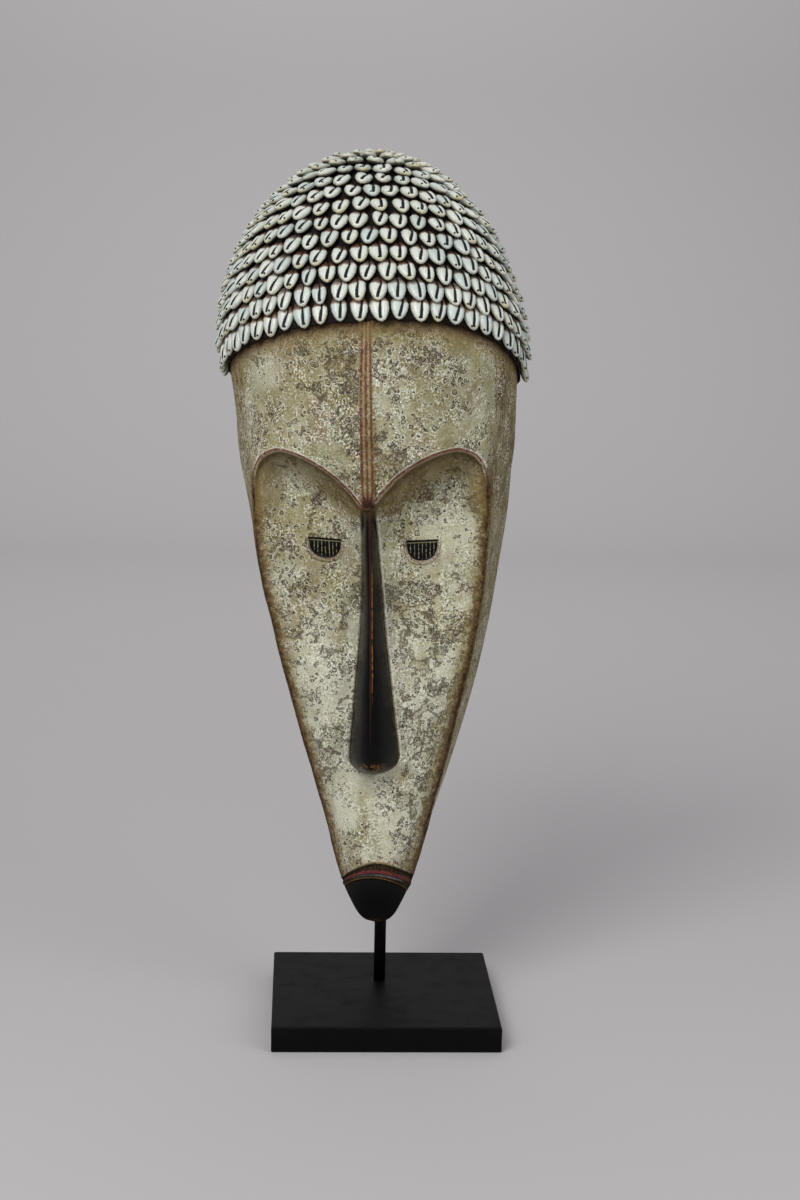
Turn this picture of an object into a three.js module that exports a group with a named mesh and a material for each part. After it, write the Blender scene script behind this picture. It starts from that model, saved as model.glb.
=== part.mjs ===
// A carved wooden face mask with a cap of cowrie shells, held on a rod above a square base.
// Millimetres, +Z up, the face looks along -Y. The origin is the centre of the underside of the base.
//
// The mask is worked out in a frame of its own: x across the face, "depth" forwards from the flat back
// and z up from just above the chin. A depth of 10 is at y = -10 there.

import * as THREE from 'three';
import { mergeVertices } from 'three/addons/utils/BufferGeometryUtils.js';

const { degToRad, smoothstep, lerp, clamp } = THREE.MathUtils;

// Stand
const BASE_SIDE = 180;
const BASE_THICKNESS = 20.7;
const BASE_CHAMFER = 1.2;
const ROD_RADIUS = 4.8;
const ROD_X = -2.1;
const ROD_Y = 20.2;
const ROD_SIDES = 12;
const ROD_END_STEPS = 3;
const FIT_GAP = 0.3;

// Placing of the mask over the base
const MASK_ORIGIN = new THREE.Vector3(-1.8, 12.5, 88);
const MASK_TURN = degToRad(-7);
const MASK_LEAN_BACK = degToRad(-5);
const MASK_LEAN_SIDE = degToRad(-1.6);

// Head: an ellipsoid cut off flat at the back, which carries on downwards as the forehead and the sides
const DOME_HEIGHT_OF_CENTRE = 440;
const DOME_DEPTH_OF_CENTRE = 20;
const DOME_HALF_WIDTH = 114.3;
const DOME_REACH_FORWARDS = 110;
const DOME_REACH_UPWARDS = 158;
const DOME_STARTS = 405;
const WALL = 12;

// Levels on the mask
const CHIN_TIP = -10.5;
const HOLLOW_TIP = 16;
const HOLLOW_ROWS_MEET = 60;
const LIP_LEVEL = 34;
const NOSE_BOTTOM = 119;
const NOSE_ROOT = 327;
const BROW_LEVEL = 352;

// Each list gives heights on the mask and the size there. A smooth curve runs through them.
const SIDE_HALF_WIDTH = [
  [CHIN_TIP, 0], [-8, 5], [-4, 8], [2, 11.5], [16, 17.5], [31, 24], [52, 32.5], [81, 43],
  [116, 55.2], [186, 76.3], [227, 86], [270, 94.4], [331, 105.2], [375, 110], [DOME_STARTS, 111.4],
];
const RIM_HALF_WIDTH = [
  [CHIN_TIP, 0], [-9.6, 6], [-8, 9.6], [-4.4, 13.4], [1.3, 17.4], [17.6, 25.3], [36, 31.8], [87, 44.7],
  [161, 63.8], [232, 80], [274, 87.3], [325, 91.2], [345, 91.4], [380, 94], [DOME_STARTS, 96],
];
const RIM_DEPTH = [
  [CHIN_TIP, 18], [10, 27], [30, 33], [102, 39], [141, 43], [190, 51], [253, 64], [300, 74], [325, 75],
];
const FACE_DEPTH = [
  [CHIN_TIP, 20], [LIP_LEVEL, 60], [60, 63], [125, 67], [190, 74], [250, 81], [300, 87], [NOSE_ROOT, 90],
];
const FOREHEAD_DEPTH = [[CHIN_TIP, 60], [250, 101], [325, 112], [360, 120], [DOME_STARTS, 127.3]];
const NOSE_HALF_WIDTH = [
  [NOSE_BOTTOM, 19.8], [137, 19.4], [160, 17], [193, 14], [233, 9.9], [274, 7.5], [NOSE_ROOT, 5.2],
];
const NOSE_RIDGE_DEPTH = [[NOSE_BOTTOM, 95], [140, 98], [190, 99], [250, 101], [315, 105], [NOSE_ROOT, 111]];
const HOLLOW_DEPTH = [
  [HOLLOW_TIP, 4], [40, 24], [81, 35], [125, 43], [190, 50], [300, 56], [335, 66], [370, 92],
  [DOME_STARTS, 115.2],
];

// How far the carving strays to one side, against the height: it isn't quite even
const SWAY = [[CHIN_TIP, -2.5], [75, 0], [230, 0], [320, -1.4], [380, -1.3], [500, -6.5]];

// Brow line: its height against the distance from the middle of the face
const BROW_LINE = [
  [0, 326], [4, 330], [12.5, 341], [31.5, 357.4], [54, 369.3], [69, 372.6], [81.4, 368.6], [87.5, 361],
  [90.4, 351], [91.4, 336],
];
const BROW_SAMPLES = 60;
const BROW_LIP = 3.5;
const BROW_LIP_SHARE = 0.28;
const BROW_COVE = 26;
const EYE_HOLLOW = 8;
const EYE_HOLLOW_STARTS = 180;
const EYE_HOLLOW_FULL = 290;
const NOSE_END_ROUNDING = 10;
const NOSE_END_ARCH = 13;
const MOUTH_DROOP = 14.7;
const MOUTH_DROOP_ENDS = 90;
const CHIN_STEP = 2.5;
const CHIN_STEP_HEIGHT = 0.7;
const CHIN_STEP_FADES = 10;

// Sections across the mask: powers of the share of the half width, a higher one being squarer
const FOREHEAD_POWER = 2;
const FOREHEAD_SQUARER_LOW = 0.5;
const FACE_POWER = 2.4;
const EYE_FACE_POWER = 2.6;
const NOSE_POWER = 1.7;
const WALL_POWER = 0.8;
const SIDES_STRAIGHT_BELOW = 310;
const SIDES_ROUND_ABOVE = 385;

// Cap and shells
const CAP_TILT = 0.26;
const CAP_EDGE_HEIGHT = 430;
const CLOTH_GAP = 1.5;
const CLOTH_THICKNESS = 1.8;
const CLOTH_COLUMNS = 20;
const CLOTH_ROWS = 8;
const SHELL_LENGTH = 20;
const SHELL_PITCH = 14.5;
const SHELL_THICKNESS = 5;
const SHELL_TILT = degToRad(18);
const LOWEST_ROW_TILT = degToRad(8);
const FULL_TILT_ROW = 2;
const SIDE_FLARE = degToRad(12);
const ROW_PITCH = 13.8;
const FIRST_ROW = 11.5;
const LAST_ROW_MARGIN = 16;
const ROW_END_MARGIN = 5;
const ROW_CURVE_POINTS = 49;
// A shell's outline: how far along it is full, and how much smaller it is where it meets its neighbour
const SHELL_FULL_FROM = 0.4;
const SHELL_FULL_TO = 0.5;
const NECK_LENGTH_SHARE = 0.55;
const NECK_THICKNESS_SHARE = 0.5;
const SHELL_LIFT_SHARE = 0.2;

// Where the grid lines of the mask run: shares of the way from the nose to the rim, then to the back edge
const FACE_SHARES = [0.16, 0.34, 0.52, 0.7, 0.84, 0.94, 1];
const WALL_SHARES = [0.5, 1];
const ROW_LEVELS = [
  CHIN_TIP, -9.4, -6.5, -1, 8, 20, LIP_LEVEL - 0.8, LIP_LEVEL, 48, 75, 100, 116, NOSE_BOTTOM, 123, 131,
  145, 165, 190, 215, 240, 265, 288, 308, 322, 336, 345, 349, BROW_LEVEL, 360, 380, DOME_STARTS, 422,
];
const BROW_ROWS_BEND = 50;
const DOME_ROWS = 7;
const MERGE_DISTANCE = 1e-3;
const SEARCH_ANGLE = 0.0005;
const SEARCH_HEIGHT = 0.1;

// Value at a height of a smooth curve through the stations that never overshoots them.
function through(stations, at) {
  const last = stations.length - 1;
  const x = clamp(at, stations[0][0], stations[last][0]);
  let i = 0;
  while (i < last - 1 && x > stations[i + 1][0]) i += 1;
  const secant = (k) => (stations[k + 1][1] - stations[k][1]) / (stations[k + 1][0] - stations[k][0]);
  const slope = (k) => {
    if (k === 0) return secant(0);
    if (k === last) return secant(last - 1);
    const before = secant(k - 1);
    const after = secant(k);
    return before * after > 0 ? (2 * before * after) / (before + after) : 0;
  };
  const [x0, y0] = stations[i];
  const [x1, y1] = stations[i + 1];
  const span = x1 - x0;
  const t = (x - x0) / span;
  return (1 + 2 * t) * (1 - t) ** 2 * y0 + t * (1 - t) ** 2 * span * slope(i)
    + t * t * (3 - 2 * t) * y1 + t * t * (t - 1) * span * slope(i + 1);
}

// Distance of a point of the face below the brow line, negative above it.
function distanceBelowBrow(x, height) {
  const across = Math.abs(x);
  const outerEnd = BROW_LINE[BROW_LINE.length - 1];
  let nearest = Infinity;
  for (let k = 0; k <= BROW_SAMPLES; k += 1) {
    const along = (k / BROW_SAMPLES) * outerEnd[0];
    nearest = Math.min(nearest, Math.hypot(across - along, height - through(BROW_LINE, along)));
  }
  if (across >= outerEnd[0]) return height > outerEnd[1] ? -nearest : nearest;
  return height > through(BROW_LINE, across) ? -nearest : nearest;
}

// How far across a half width a point lies, from 0 in the middle to 1 at the edge.
function shareOf(x, halfWidth) {
  return halfWidth > 0 ? clamp(Math.abs(x) / halfWidth, 0, 1) : 0;
}

// Depth of the unbroken forehead: a rounded section, squarer low down, with its widest line near the back.
function foreheadDepth(x, height) {
  const power = FOREHEAD_POWER + FOREHEAD_SQUARER_LOW * (1 - smoothstep(height, NOSE_ROOT, DOME_STARTS));
  const share = shareOf(x, through(SIDE_HALF_WIDTH, height));
  const reach = through(FOREHEAD_DEPTH, height) - DOME_DEPTH_OF_CENTRE;
  return DOME_DEPTH_OF_CENTRE + reach * (1 - share ** power) ** (1 / power);
}

// Depth of the sunken face: rounded across low down, and scooped beside the nose at the eyes.
function faceDepth(x, height) {
  const rim = through(RIM_DEPTH, height);
  const rise = through(FACE_DEPTH, height) - rim;
  const share = shareOf(x, through(RIM_HALF_WIDTH, height));
  const scooped = smoothstep(height, EYE_HOLLOW_STARTS, EYE_HOLLOW_FULL);
  const rounded = 1 - share ** FACE_POWER;
  const hollowed = (1 - share) ** EYE_FACE_POWER;
  const chinEdge = LIP_LEVEL - MOUTH_DROOP * share ** 2;
  const belowLips = smoothstep(chinEdge - height, 0, CHIN_STEP_HEIGHT);
  const chinStep = CHIN_STEP * belowLips * smoothstep(height, CHIN_TIP, CHIN_STEP_FADES);
  const scoop = EYE_HOLLOW * scooped * Math.sin(Math.PI * share);
  return rim + rise * lerp(rounded, hollowed, scooped) - scoop - chinStep;
}

// How far the nose stands out of the face: a rounded wedge with a rounded lower end.
function noseRise(x, height) {
  const halfWidth = through(NOSE_HALF_WIDTH, height);
  const share = Math.abs(x) / halfWidth;
  if (share >= 1 || height > NOSE_ROOT) return 0;
  const widest = NOSE_HALF_WIDTH[0][1];
  const lowerEdge = NOSE_BOTTOM + NOSE_END_ARCH * (1 - Math.sqrt(1 - shareOf(x, widest) ** 2));
  const fromEnd = clamp((height - lowerEdge) / NOSE_END_ROUNDING, 0, 1);
  const section = 1 - share ** NOSE_POWER;
  const end = Math.sqrt(1 - (1 - fromEnd) ** 2);
  return (through(NOSE_RIDGE_DEPTH, height) - through(FACE_DEPTH, height)) * section * end;
}

// Depth of the finished front: the face, a cove and a lip under the brow line, and the forehead above it.
function frontDepth(x, height) {
  const forehead = foreheadDepth(x, height);
  const below = height < BROW_LINE[0][1] - BROW_COVE * 2 ? BROW_COVE : distanceBelowBrow(x, height);
  if (below <= 0) return forehead;
  const face = faceDepth(x, height);
  const cove = (1 - BROW_LIP_SHARE) * (1 - clamp(below / BROW_COVE, 0, 1)) ** 2;
  const lip = BROW_LIP_SHARE * (1 - smoothstep(below, 0, BROW_LIP));
  const carved = face + Math.max(forehead - face, 0) * (cove + lip);
  return Math.max(carved, face + noseRise(x, height));
}

// Rows bend so that one follows the brow line and one follows the arch of the lips.
function rowHeight(level, x) {
  const across = Math.min(Math.abs(x), BROW_LINE[BROW_LINE.length - 1][0]);
  const browFollows = smoothstep(level, BROW_LEVEL - BROW_ROWS_BEND, BROW_LEVEL);
  const nearBrow = browFollows * (1 - smoothstep(level, BROW_LEVEL, DOME_STARTS));
  const lipsFollow = smoothstep(level, CHIN_TIP, LIP_LEVEL);
  const nearLips = lipsFollow * (1 - smoothstep(level, LIP_LEVEL, MOUTH_DROOP_ENDS));
  const rimShare = shareOf(x, through(RIM_HALF_WIDTH, level));
  const browRise = through(BROW_LINE, across) - BROW_LEVEL;
  return level + nearBrow * browRise - nearLips * MOUTH_DROOP * rimShare ** 2;
}

const maskPoint = (x, depth, height) => new THREE.Vector3(x, -depth, height);

// Moves a piece of the mask sideways by the sway at each height.
function swayed(geometry) {
  const position = geometry.attributes.position;
  for (let i = 0; i < position.count; i += 1) {
    position.setX(i, position.getX(i) + through(SWAY, position.getZ(i)));
  }
  geometry.computeVertexNormals();
  return geometry;
}

// One row of the outside, from the left back edge across the face to the right back edge.
function outsideRow(level) {
  const noseHalf = level > NOSE_BOTTOM ? through(NOSE_HALF_WIDTH, level) : NOSE_HALF_WIDTH[0][1];
  const rimAt = through(RIM_HALF_WIDTH, level);
  const inner = Math.min(noseHalf, rimAt * 0.5);
  const half = [0, inner * 0.5, inner, ...FACE_SHARES.map((share) => lerp(inner, rimAt, share))];
  const front = half.map((levelX) => {
    const height = rowHeight(level, levelX);
    const x = rimAt > 0 ? levelX * (through(RIM_HALF_WIDTH, height) / rimAt) : 0;
    return maskPoint(x, frontDepth(x, height), height);
  });
  const rim = front[front.length - 1];
  const wall = WALL_SHARES.map((share) => wallPoint(rim, share));
  const right = [...front, ...wall];
  const left = right.slice(1).reverse().map((p) => new THREE.Vector3(-p.x, p.y, p.z));
  return [...left, ...right];
}

// A point of the side wall, from the rim to the back edge: straight low down, round beside the forehead.
function wallPoint(rim, share) {
  const sideAt = through(SIDE_HALF_WIDTH, rim.z);
  const roundness = smoothstep(rim.z, SIDES_STRAIGHT_BELOW, SIDES_ROUND_ABOVE);
  const reach = through(FOREHEAD_DEPTH, rim.z) - DOME_DEPTH_OF_CENTRE;
  const rimAngle = Math.asin(shareOf(rim.x, sideAt));
  const backAngle = Math.acos(-DOME_DEPTH_OF_CENTRE / reach);
  const angle = lerp(rimAngle, backAngle, share);
  const roundDepth = share === 1 ? 0 : DOME_DEPTH_OF_CENTRE + reach * Math.cos(angle);
  const straightWidth = lerp(rim.x, sideAt, share ** WALL_POWER);
  const x = lerp(straightWidth, sideAt * Math.sin(angle), roundness);
  return maskPoint(x, lerp(-rim.y * (1 - share), roundDepth, roundness), rim.z);
}

// An arc over an ellipsoid in a plane that holds the line across the mask through two points of its side
// view. The side view is scaled to a circle of radius 1, so both points are given in that circle.
function planeArc(radii, backPoint, frontPoint, shares) {
  const along = new THREE.Vector2().subVectors(frontPoint, backPoint).normalize();
  const centre = backPoint.clone().addScaledVector(along, -backPoint.dot(along));
  const radius = Math.sqrt(1 - centre.lengthSq());
  const endAngle = Math.acos(clamp(backPoint.dot(along) / radius, -1, 1));
  return shares.map((share) => {
    const angle = share * endAngle;
    const side = centre.clone().addScaledVector(along, radius * Math.cos(angle));
    return maskPoint(
      radii.x * radius * Math.sin(angle),
      DOME_DEPTH_OF_CENTRE + radii.y * side.x,
      DOME_HEIGHT_OF_CENTRE + radii.z * side.y,
    );
  });
}

// Rows over the dome: the ends climb the flat back edge while the middle climbs the front, to one point.
function domeRows(radii, shares) {
  const backDepth = -DOME_DEPTH_OF_CENTRE / radii.y;
  const backRadius = Math.sqrt(1 - backDepth ** 2);
  const topAngle = Math.acos(backDepth);
  const rows = [];
  for (let row = 0; row <= DOME_ROWS; row += 1) {
    const climb = row / DOME_ROWS;
    const backHeight = backRadius * Math.sin((climb * Math.PI) / 2);
    const frontAngle = climb * topAngle;
    const backPoint = new THREE.Vector2(backDepth, backHeight);
    const frontPoint = new THREE.Vector2(Math.cos(frontAngle), Math.sin(frontAngle));
    if (row === DOME_ROWS) {
      const top = maskPoint(0, 0, DOME_HEIGHT_OF_CENTRE + radii.z * backRadius);
      rows.push(shares.map(() => top.clone()));
    } else {
      rows.push(planeArc(radii, backPoint, frontPoint, shares));
    }
  }
  return rows;
}

// Shares of the way round from the middle to the back edge at which the columns of the grid stand.
function columnShares() {
  const backAngle = Math.acos(-DOME_DEPTH_OF_CENTRE / DOME_REACH_FORWARDS);
  return outsideRow(DOME_STARTS).map((point) => {
    const forwards = (-point.y - DOME_DEPTH_OF_CENTRE) / DOME_REACH_FORWARDS;
    return clamp(Math.atan2(point.x / DOME_HALF_WIDTH, forwards) / backAngle, -1, 1);
  });
}

// One row of the hollow: an ellipse cut off at the flat back, narrowing to a line above the chin.
function hollowRow(level, shares) {
  const height = level + (HOLLOW_TIP - CHIN_TIP) * (1 - smoothstep(level, CHIN_TIP, HOLLOW_ROWS_MEET));
  const above = Math.max(height - HOLLOW_TIP, 0);
  const opening = Math.sqrt(above / (above + WALL));
  const halfWidth = (through(SIDE_HALF_WIDTH, height) - WALL) * opening;
  const widest = DOME_DEPTH_OF_CENTRE * smoothstep(height, NOSE_ROOT, DOME_STARTS);
  const reach = through(HOLLOW_DEPTH, height) - widest;
  const backAngle = Math.acos(-widest / reach);
  return shares.map((share) => maskPoint(
    halfWidth * Math.sin(share * backAngle),
    Math.abs(share) === 1 ? 0 : widest + reach * Math.cos(share * backAngle),
    height,
  ));
}

// A closed skin between two grids of points: the outside, the inside and the bands that join their edges.
// Both grids end in a single point. Where they also start in a line, no band is needed there.
function shellBetween(outside, inside, startsOpen) {
  const rows = outside.length;
  const columns = outside[0].length;
  const positions = [...outside.flat(), ...inside.flat()].flatMap((p) => [p.x, p.y, p.z]);
  const out = (row, column) => row * columns + column;
  const inn = (row, column) => rows * columns + row * columns + column;
  const index = [];
  const quad = (a, b, c, d) => index.push(a, b, c, a, c, d);
  for (let row = 0; row < rows - 1; row += 1) {
    for (let column = 0; column < columns - 1; column += 1) {
      quad(out(row, column), out(row, column + 1), out(row + 1, column + 1), out(row + 1, column));
      quad(inn(row, column), inn(row + 1, column), inn(row + 1, column + 1), inn(row, column + 1));
    }
    quad(out(row, 0), out(row + 1, 0), inn(row + 1, 0), inn(row, 0));
    const last = columns - 1;
    quad(out(row, last), inn(row, last), inn(row + 1, last), out(row + 1, last));
  }
  for (let column = 0; startsOpen && column < columns - 1; column += 1) {
    quad(out(0, column), inn(0, column), inn(0, column + 1), out(0, column + 1));
  }
  return closedGeometry(positions, index);
}

// Geometry with shared vertices merged and the triangles that have shrunk to a line left out.
function closedGeometry(positions, index) {
  const loose = new THREE.BufferGeometry();
  loose.setAttribute('position', new THREE.Float32BufferAttribute(positions, 3));
  loose.setIndex(index);
  const merged = mergeVertices(loose, MERGE_DISTANCE);
  const kept = [];
  const ids = merged.index.array;
  for (let i = 0; i < ids.length; i += 3) {
    const [a, b, c] = [ids[i], ids[i + 1], ids[i + 2]];
    if (a !== b && b !== c && c !== a) kept.push(a, b, c);
  }
  merged.setIndex(kept);
  merged.computeVertexNormals();
  return merged;
}

function maskGeometry() {
  const shares = columnShares();
  const radii = new THREE.Vector3(DOME_HALF_WIDTH, DOME_REACH_FORWARDS, DOME_REACH_UPWARDS);
  const hollowRadii = radii.clone().subScalar(WALL);
  const outside = [...ROW_LEVELS.map((level) => outsideRow(level)), ...domeRows(radii, shares)];
  const inside = [...ROW_LEVELS.map((level) => hollowRow(level, shares)), ...domeRows(hollowRadii, shares)];
  return shellBetween(outside, inside, false);
}

// Curve over the dome in one of the tilted planes that the rows of the cap follow.
function capRow(grow, planeHeight, shares) {
  const radii = new THREE.Vector3(
    DOME_HALF_WIDTH + grow,
    DOME_REACH_FORWARDS + grow,
    DOME_REACH_UPWARDS + grow,
  );
  const slope = (CAP_TILT * radii.y) / radii.z;
  const offset = (planeHeight + CAP_TILT * DOME_DEPTH_OF_CENTRE - DOME_HEIGHT_OF_CENTRE) / radii.z;
  const backDepth = -DOME_DEPTH_OF_CENTRE / radii.y;
  const backPoint = new THREE.Vector2(backDepth, offset + slope * backDepth);
  const frontPoint = new THREE.Vector2(backDepth + 1, offset + slope * (backDepth + 1));
  return planeArc(radii, backPoint, frontPoint, shares);
}

// Height, on the flat back, of the tilted plane that meets the middle of the dome at a point.
const planeHeightAt = (depth, height) => height - CAP_TILT * depth;

// The middle of the cap seen from the side, from its front edge over the top to the back.
function capProfile(grow) {
  const forwards = DOME_REACH_FORWARDS + grow;
  const upwards = DOME_REACH_UPWARDS + grow;
  const backAngle = Math.acos(-DOME_DEPTH_OF_CENTRE / forwards);
  let frontAngle = 0;
  const rises = (angle) => planeHeightAt(
    DOME_DEPTH_OF_CENTRE + forwards * Math.cos(angle),
    DOME_HEIGHT_OF_CENTRE + upwards * Math.sin(angle),
  );
  while (rises(frontAngle) < CAP_EDGE_HEIGHT) frontAngle += SEARCH_ANGLE;
  const centre = [DOME_DEPTH_OF_CENTRE, DOME_HEIGHT_OF_CENTRE];
  return new THREE.EllipseCurve(...centre, forwards, upwards, frontAngle, backAngle);
}

function clothGeometry() {
  const shares = Array.from({ length: CLOTH_COLUMNS + 1 }, (_, k) => (2 * k) / CLOTH_COLUMNS - 1);
  const grid = (grow) => {
    const profile = capProfile(grow);
    return Array.from({ length: CLOTH_ROWS + 1 }, (_, row) => {
      const point = profile.getPointAt(row / CLOTH_ROWS);
      if (row === CLOTH_ROWS) return shares.map(() => maskPoint(0, 0, point.y));
      return capRow(grow, planeHeightAt(point.x, point.y), shares);
    });
  };
  return shellBetween(grid(CLOTH_GAP + CLOTH_THICKNESS), grid(CLOTH_GAP), true);
}

// Outline of a shell cut through its length, from the end under the row above to the free tip.
function shellOutline(lengthShare, thicknessShare) {
  const half = (SHELL_LENGTH / 2) * lengthShare;
  const thick = (SHELL_THICKNESS / 2) * thicknessShare;
  const outerSide = [[-half * SHELL_FULL_FROM, thick], [half * SHELL_FULL_TO, thick]];
  return [[-half, 0], ...outerSide, [half, 0], [0, -thick]];
}

// One sewn row of shells as a single strip: full sections at the shells, small ones where neighbours meet.
// The shells' free tips stand out by the tilt, and further towards both ends of the row by the flare.
function shellRowGeometry(distance, middleTilt, flare) {
  const grow = CLOTH_GAP + CLOTH_THICKNESS;
  const profile = capProfile(grow);
  const middle = profile.getPointAt(distance / profile.getLength());
  const shares = Array.from({ length: ROW_CURVE_POINTS }, (_, k) => (2 * k) / (ROW_CURVE_POINTS - 1) - 1);
  const curve = new THREE.CatmullRomCurve3(capRow(grow, planeHeightAt(middle.x, middle.y), shares));
  const length = curve.getLength() - 2 * ROW_END_MARGIN;
  const shells = Math.max(1, Math.round(length / SHELL_PITCH));
  const steps = 2 * shells;
  const rings = [];
  for (let k = 0; k <= steps; k += 1) {
    const at = (ROW_END_MARGIN + (length * k) / steps) / curve.getLength();
    const tilt = middleTilt + flare * (2 * at - 1) ** 2;
    const lift = (SHELL_LENGTH / 2) * Math.sin(tilt) + SHELL_THICKNESS * SHELL_LIFT_SHARE + FIT_GAP;
    const point = curve.getPointAt(at);
    const along = curve.getTangentAt(at);
    const outwards = domeNormal(point, grow);
    const down = new THREE.Vector3().crossVectors(outwards, along).normalize();
    if (down.z > 0) down.negate();
    const isShell = k % 2 === 1;
    const outline = isShell ? shellOutline(1, 1) : shellOutline(NECK_LENGTH_SHARE, NECK_THICKNESS_SHARE);
    rings.push(outline.map(([lengthwise, thickness]) => {
      const downwards = lengthwise * Math.cos(tilt) - thickness * Math.sin(tilt);
      const out = lift + lengthwise * Math.sin(tilt) + thickness * Math.cos(tilt);
      return point.clone().addScaledVector(down, downwards).addScaledVector(outwards, out);
    }));
  }
  return stripGeometry(rings);
}

// Direction straight out of the dome at a point on or near it.
function domeNormal(point, grow) {
  return new THREE.Vector3(
    point.x / (DOME_HALF_WIDTH + grow) ** 2,
    (point.y + DOME_DEPTH_OF_CENTRE) / (DOME_REACH_FORWARDS + grow) ** 2,
    (point.z - DOME_HEIGHT_OF_CENTRE) / (DOME_REACH_UPWARDS + grow) ** 2,
  ).normalize();
}

// A closed strip through rings of equal length, with a fan over each end.
function stripGeometry(rings) {
  const size = rings[0].length;
  const positions = rings.flat().flatMap((p) => [p.x, p.y, p.z]);
  const index = [];
  for (let ring = 0; ring < rings.length - 1; ring += 1) {
    for (let k = 0; k < size; k += 1) {
      const a = ring * size + k;
      const b = ring * size + ((k + 1) % size);
      index.push(a, b, b + size, a, b + size, a + size);
    }
  }
  const end = (rings.length - 1) * size;
  for (let k = 1; k < size - 1; k += 1) {
    index.push(0, k + 1, k);
    index.push(end, end + k, end + k + 1);
  }
  return closedGeometry(positions, index);
}

// Square base with its edges chamfered all round.
function baseGeometry() {
  const half = BASE_SIDE / 2 - BASE_CHAMFER;
  const outline = new THREE.Shape([
    new THREE.Vector2(-half, -half),
    new THREE.Vector2(half, -half),
    new THREE.Vector2(half, half),
    new THREE.Vector2(-half, half),
  ]);
  const geometry = new THREE.ExtrudeGeometry(outline, {
    depth: BASE_THICKNESS - 2 * BASE_CHAMFER,
    bevelThickness: BASE_CHAMFER,
    bevelSize: BASE_CHAMFER,
    bevelSegments: 1,
  });
  geometry.translate(0, 0, BASE_CHAMFER);
  return geometry;
}

// Height at which the rod would touch the inside of the dome.
function heightUnderDome(maskGroup) {
  const radii = new THREE.Vector3(DOME_HALF_WIDTH, DOME_REACH_FORWARDS, DOME_REACH_UPWARDS).subScalar(WALL);
  const inside = (height) => {
    const point = maskGroup.worldToLocal(new THREE.Vector3(ROD_X, ROD_Y, height));
    const side = point.x / radii.x;
    const forwards = (point.y + DOME_DEPTH_OF_CENTRE) / radii.y;
    const upwards = (point.z - DOME_HEIGHT_OF_CENTRE) / radii.z;
    return side ** 2 + forwards ** 2 + upwards ** 2 < 1;
  };
  let height = MASK_ORIGIN.z + DOME_HEIGHT_OF_CENTRE;
  while (inside(height)) height += SEARCH_HEIGHT;
  return height;
}

// Straight round rod with a rounded upper end.
function rodGeometry(top) {
  const foot = BASE_THICKNESS + FIT_GAP;
  const profile = [new THREE.Vector2(0, foot), new THREE.Vector2(ROD_RADIUS, foot)];
  for (let k = 0; k <= ROD_END_STEPS; k += 1) {
    const angle = (k / ROD_END_STEPS) * (Math.PI / 2);
    const height = top - ROD_RADIUS + ROD_RADIUS * Math.sin(angle);
    profile.push(new THREE.Vector2(k === ROD_END_STEPS ? 0 : ROD_RADIUS * Math.cos(angle), height));
  }
  const geometry = new THREE.LatheGeometry(profile, ROD_SIDES);
  geometry.rotateX(Math.PI / 2);
  return geometry;
}

function named(name, geometry, color, roughness, metalness) {
  const material = new THREE.MeshStandardMaterial({ color, roughness, metalness });
  const mesh = new THREE.Mesh(geometry, material);
  mesh.name = name;
  return mesh;
}

const mask = new THREE.Group();
mask.position.copy(MASK_ORIGIN);
mask.rotation.set(MASK_LEAN_BACK, MASK_LEAN_SIDE, MASK_TURN, 'ZXY');
mask.add(named('carved_mask', swayed(maskGeometry()), 0xb5ad8c, 0.8, 0));
mask.add(named('cap_cloth', swayed(clothGeometry()), 0x1c1613, 0.95, 0));
const rowSpace = capProfile(CLOTH_GAP + CLOTH_THICKNESS).getLength() - FIRST_ROW - LAST_ROW_MARGIN;
const rowCount = Math.floor(rowSpace / ROW_PITCH) + 1;
for (let row = 0; row < rowCount; row += 1) {
  const name = `cowrie_row_${String(row + 1).padStart(2, '0')}`;
  const tilt = lerp(LOWEST_ROW_TILT, SHELL_TILT, Math.min(row / FULL_TILT_ROW, 1));
  const flare = SIDE_FLARE * (1 - row / rowCount);
  const strip = swayed(shellRowGeometry(FIRST_ROW + row * ROW_PITCH, tilt, flare));
  mask.add(named(name, strip, 0xd9dccb, 0.35, 0));
}
mask.updateMatrixWorld(true);

const object = new THREE.Group();
object.add(named('stand_base', baseGeometry(), 0x0b0b0c, 0.4, 0));
const rod = named('stand_rod', rodGeometry(heightUnderDome(mask) - ROD_RADIUS), 0x0b0b0c, 0.4, 0.2);
rod.position.set(ROD_X, ROD_Y, 0);
object.add(rod, mask);

export default object;
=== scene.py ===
"""Dresses a carved face mask with a cap of cowrie shells, on its rod and square base.

The mask has a frame of its own: x across the face, depth forwards from its flat back and z up from just
above the chin. Lengths in that frame are millimetres, and MaskFrame turns them into the scene's metres.
"""

from __future__ import annotations

import logging
import math
from dataclasses import dataclass, field
from enum import Enum
from typing import Sequence

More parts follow.
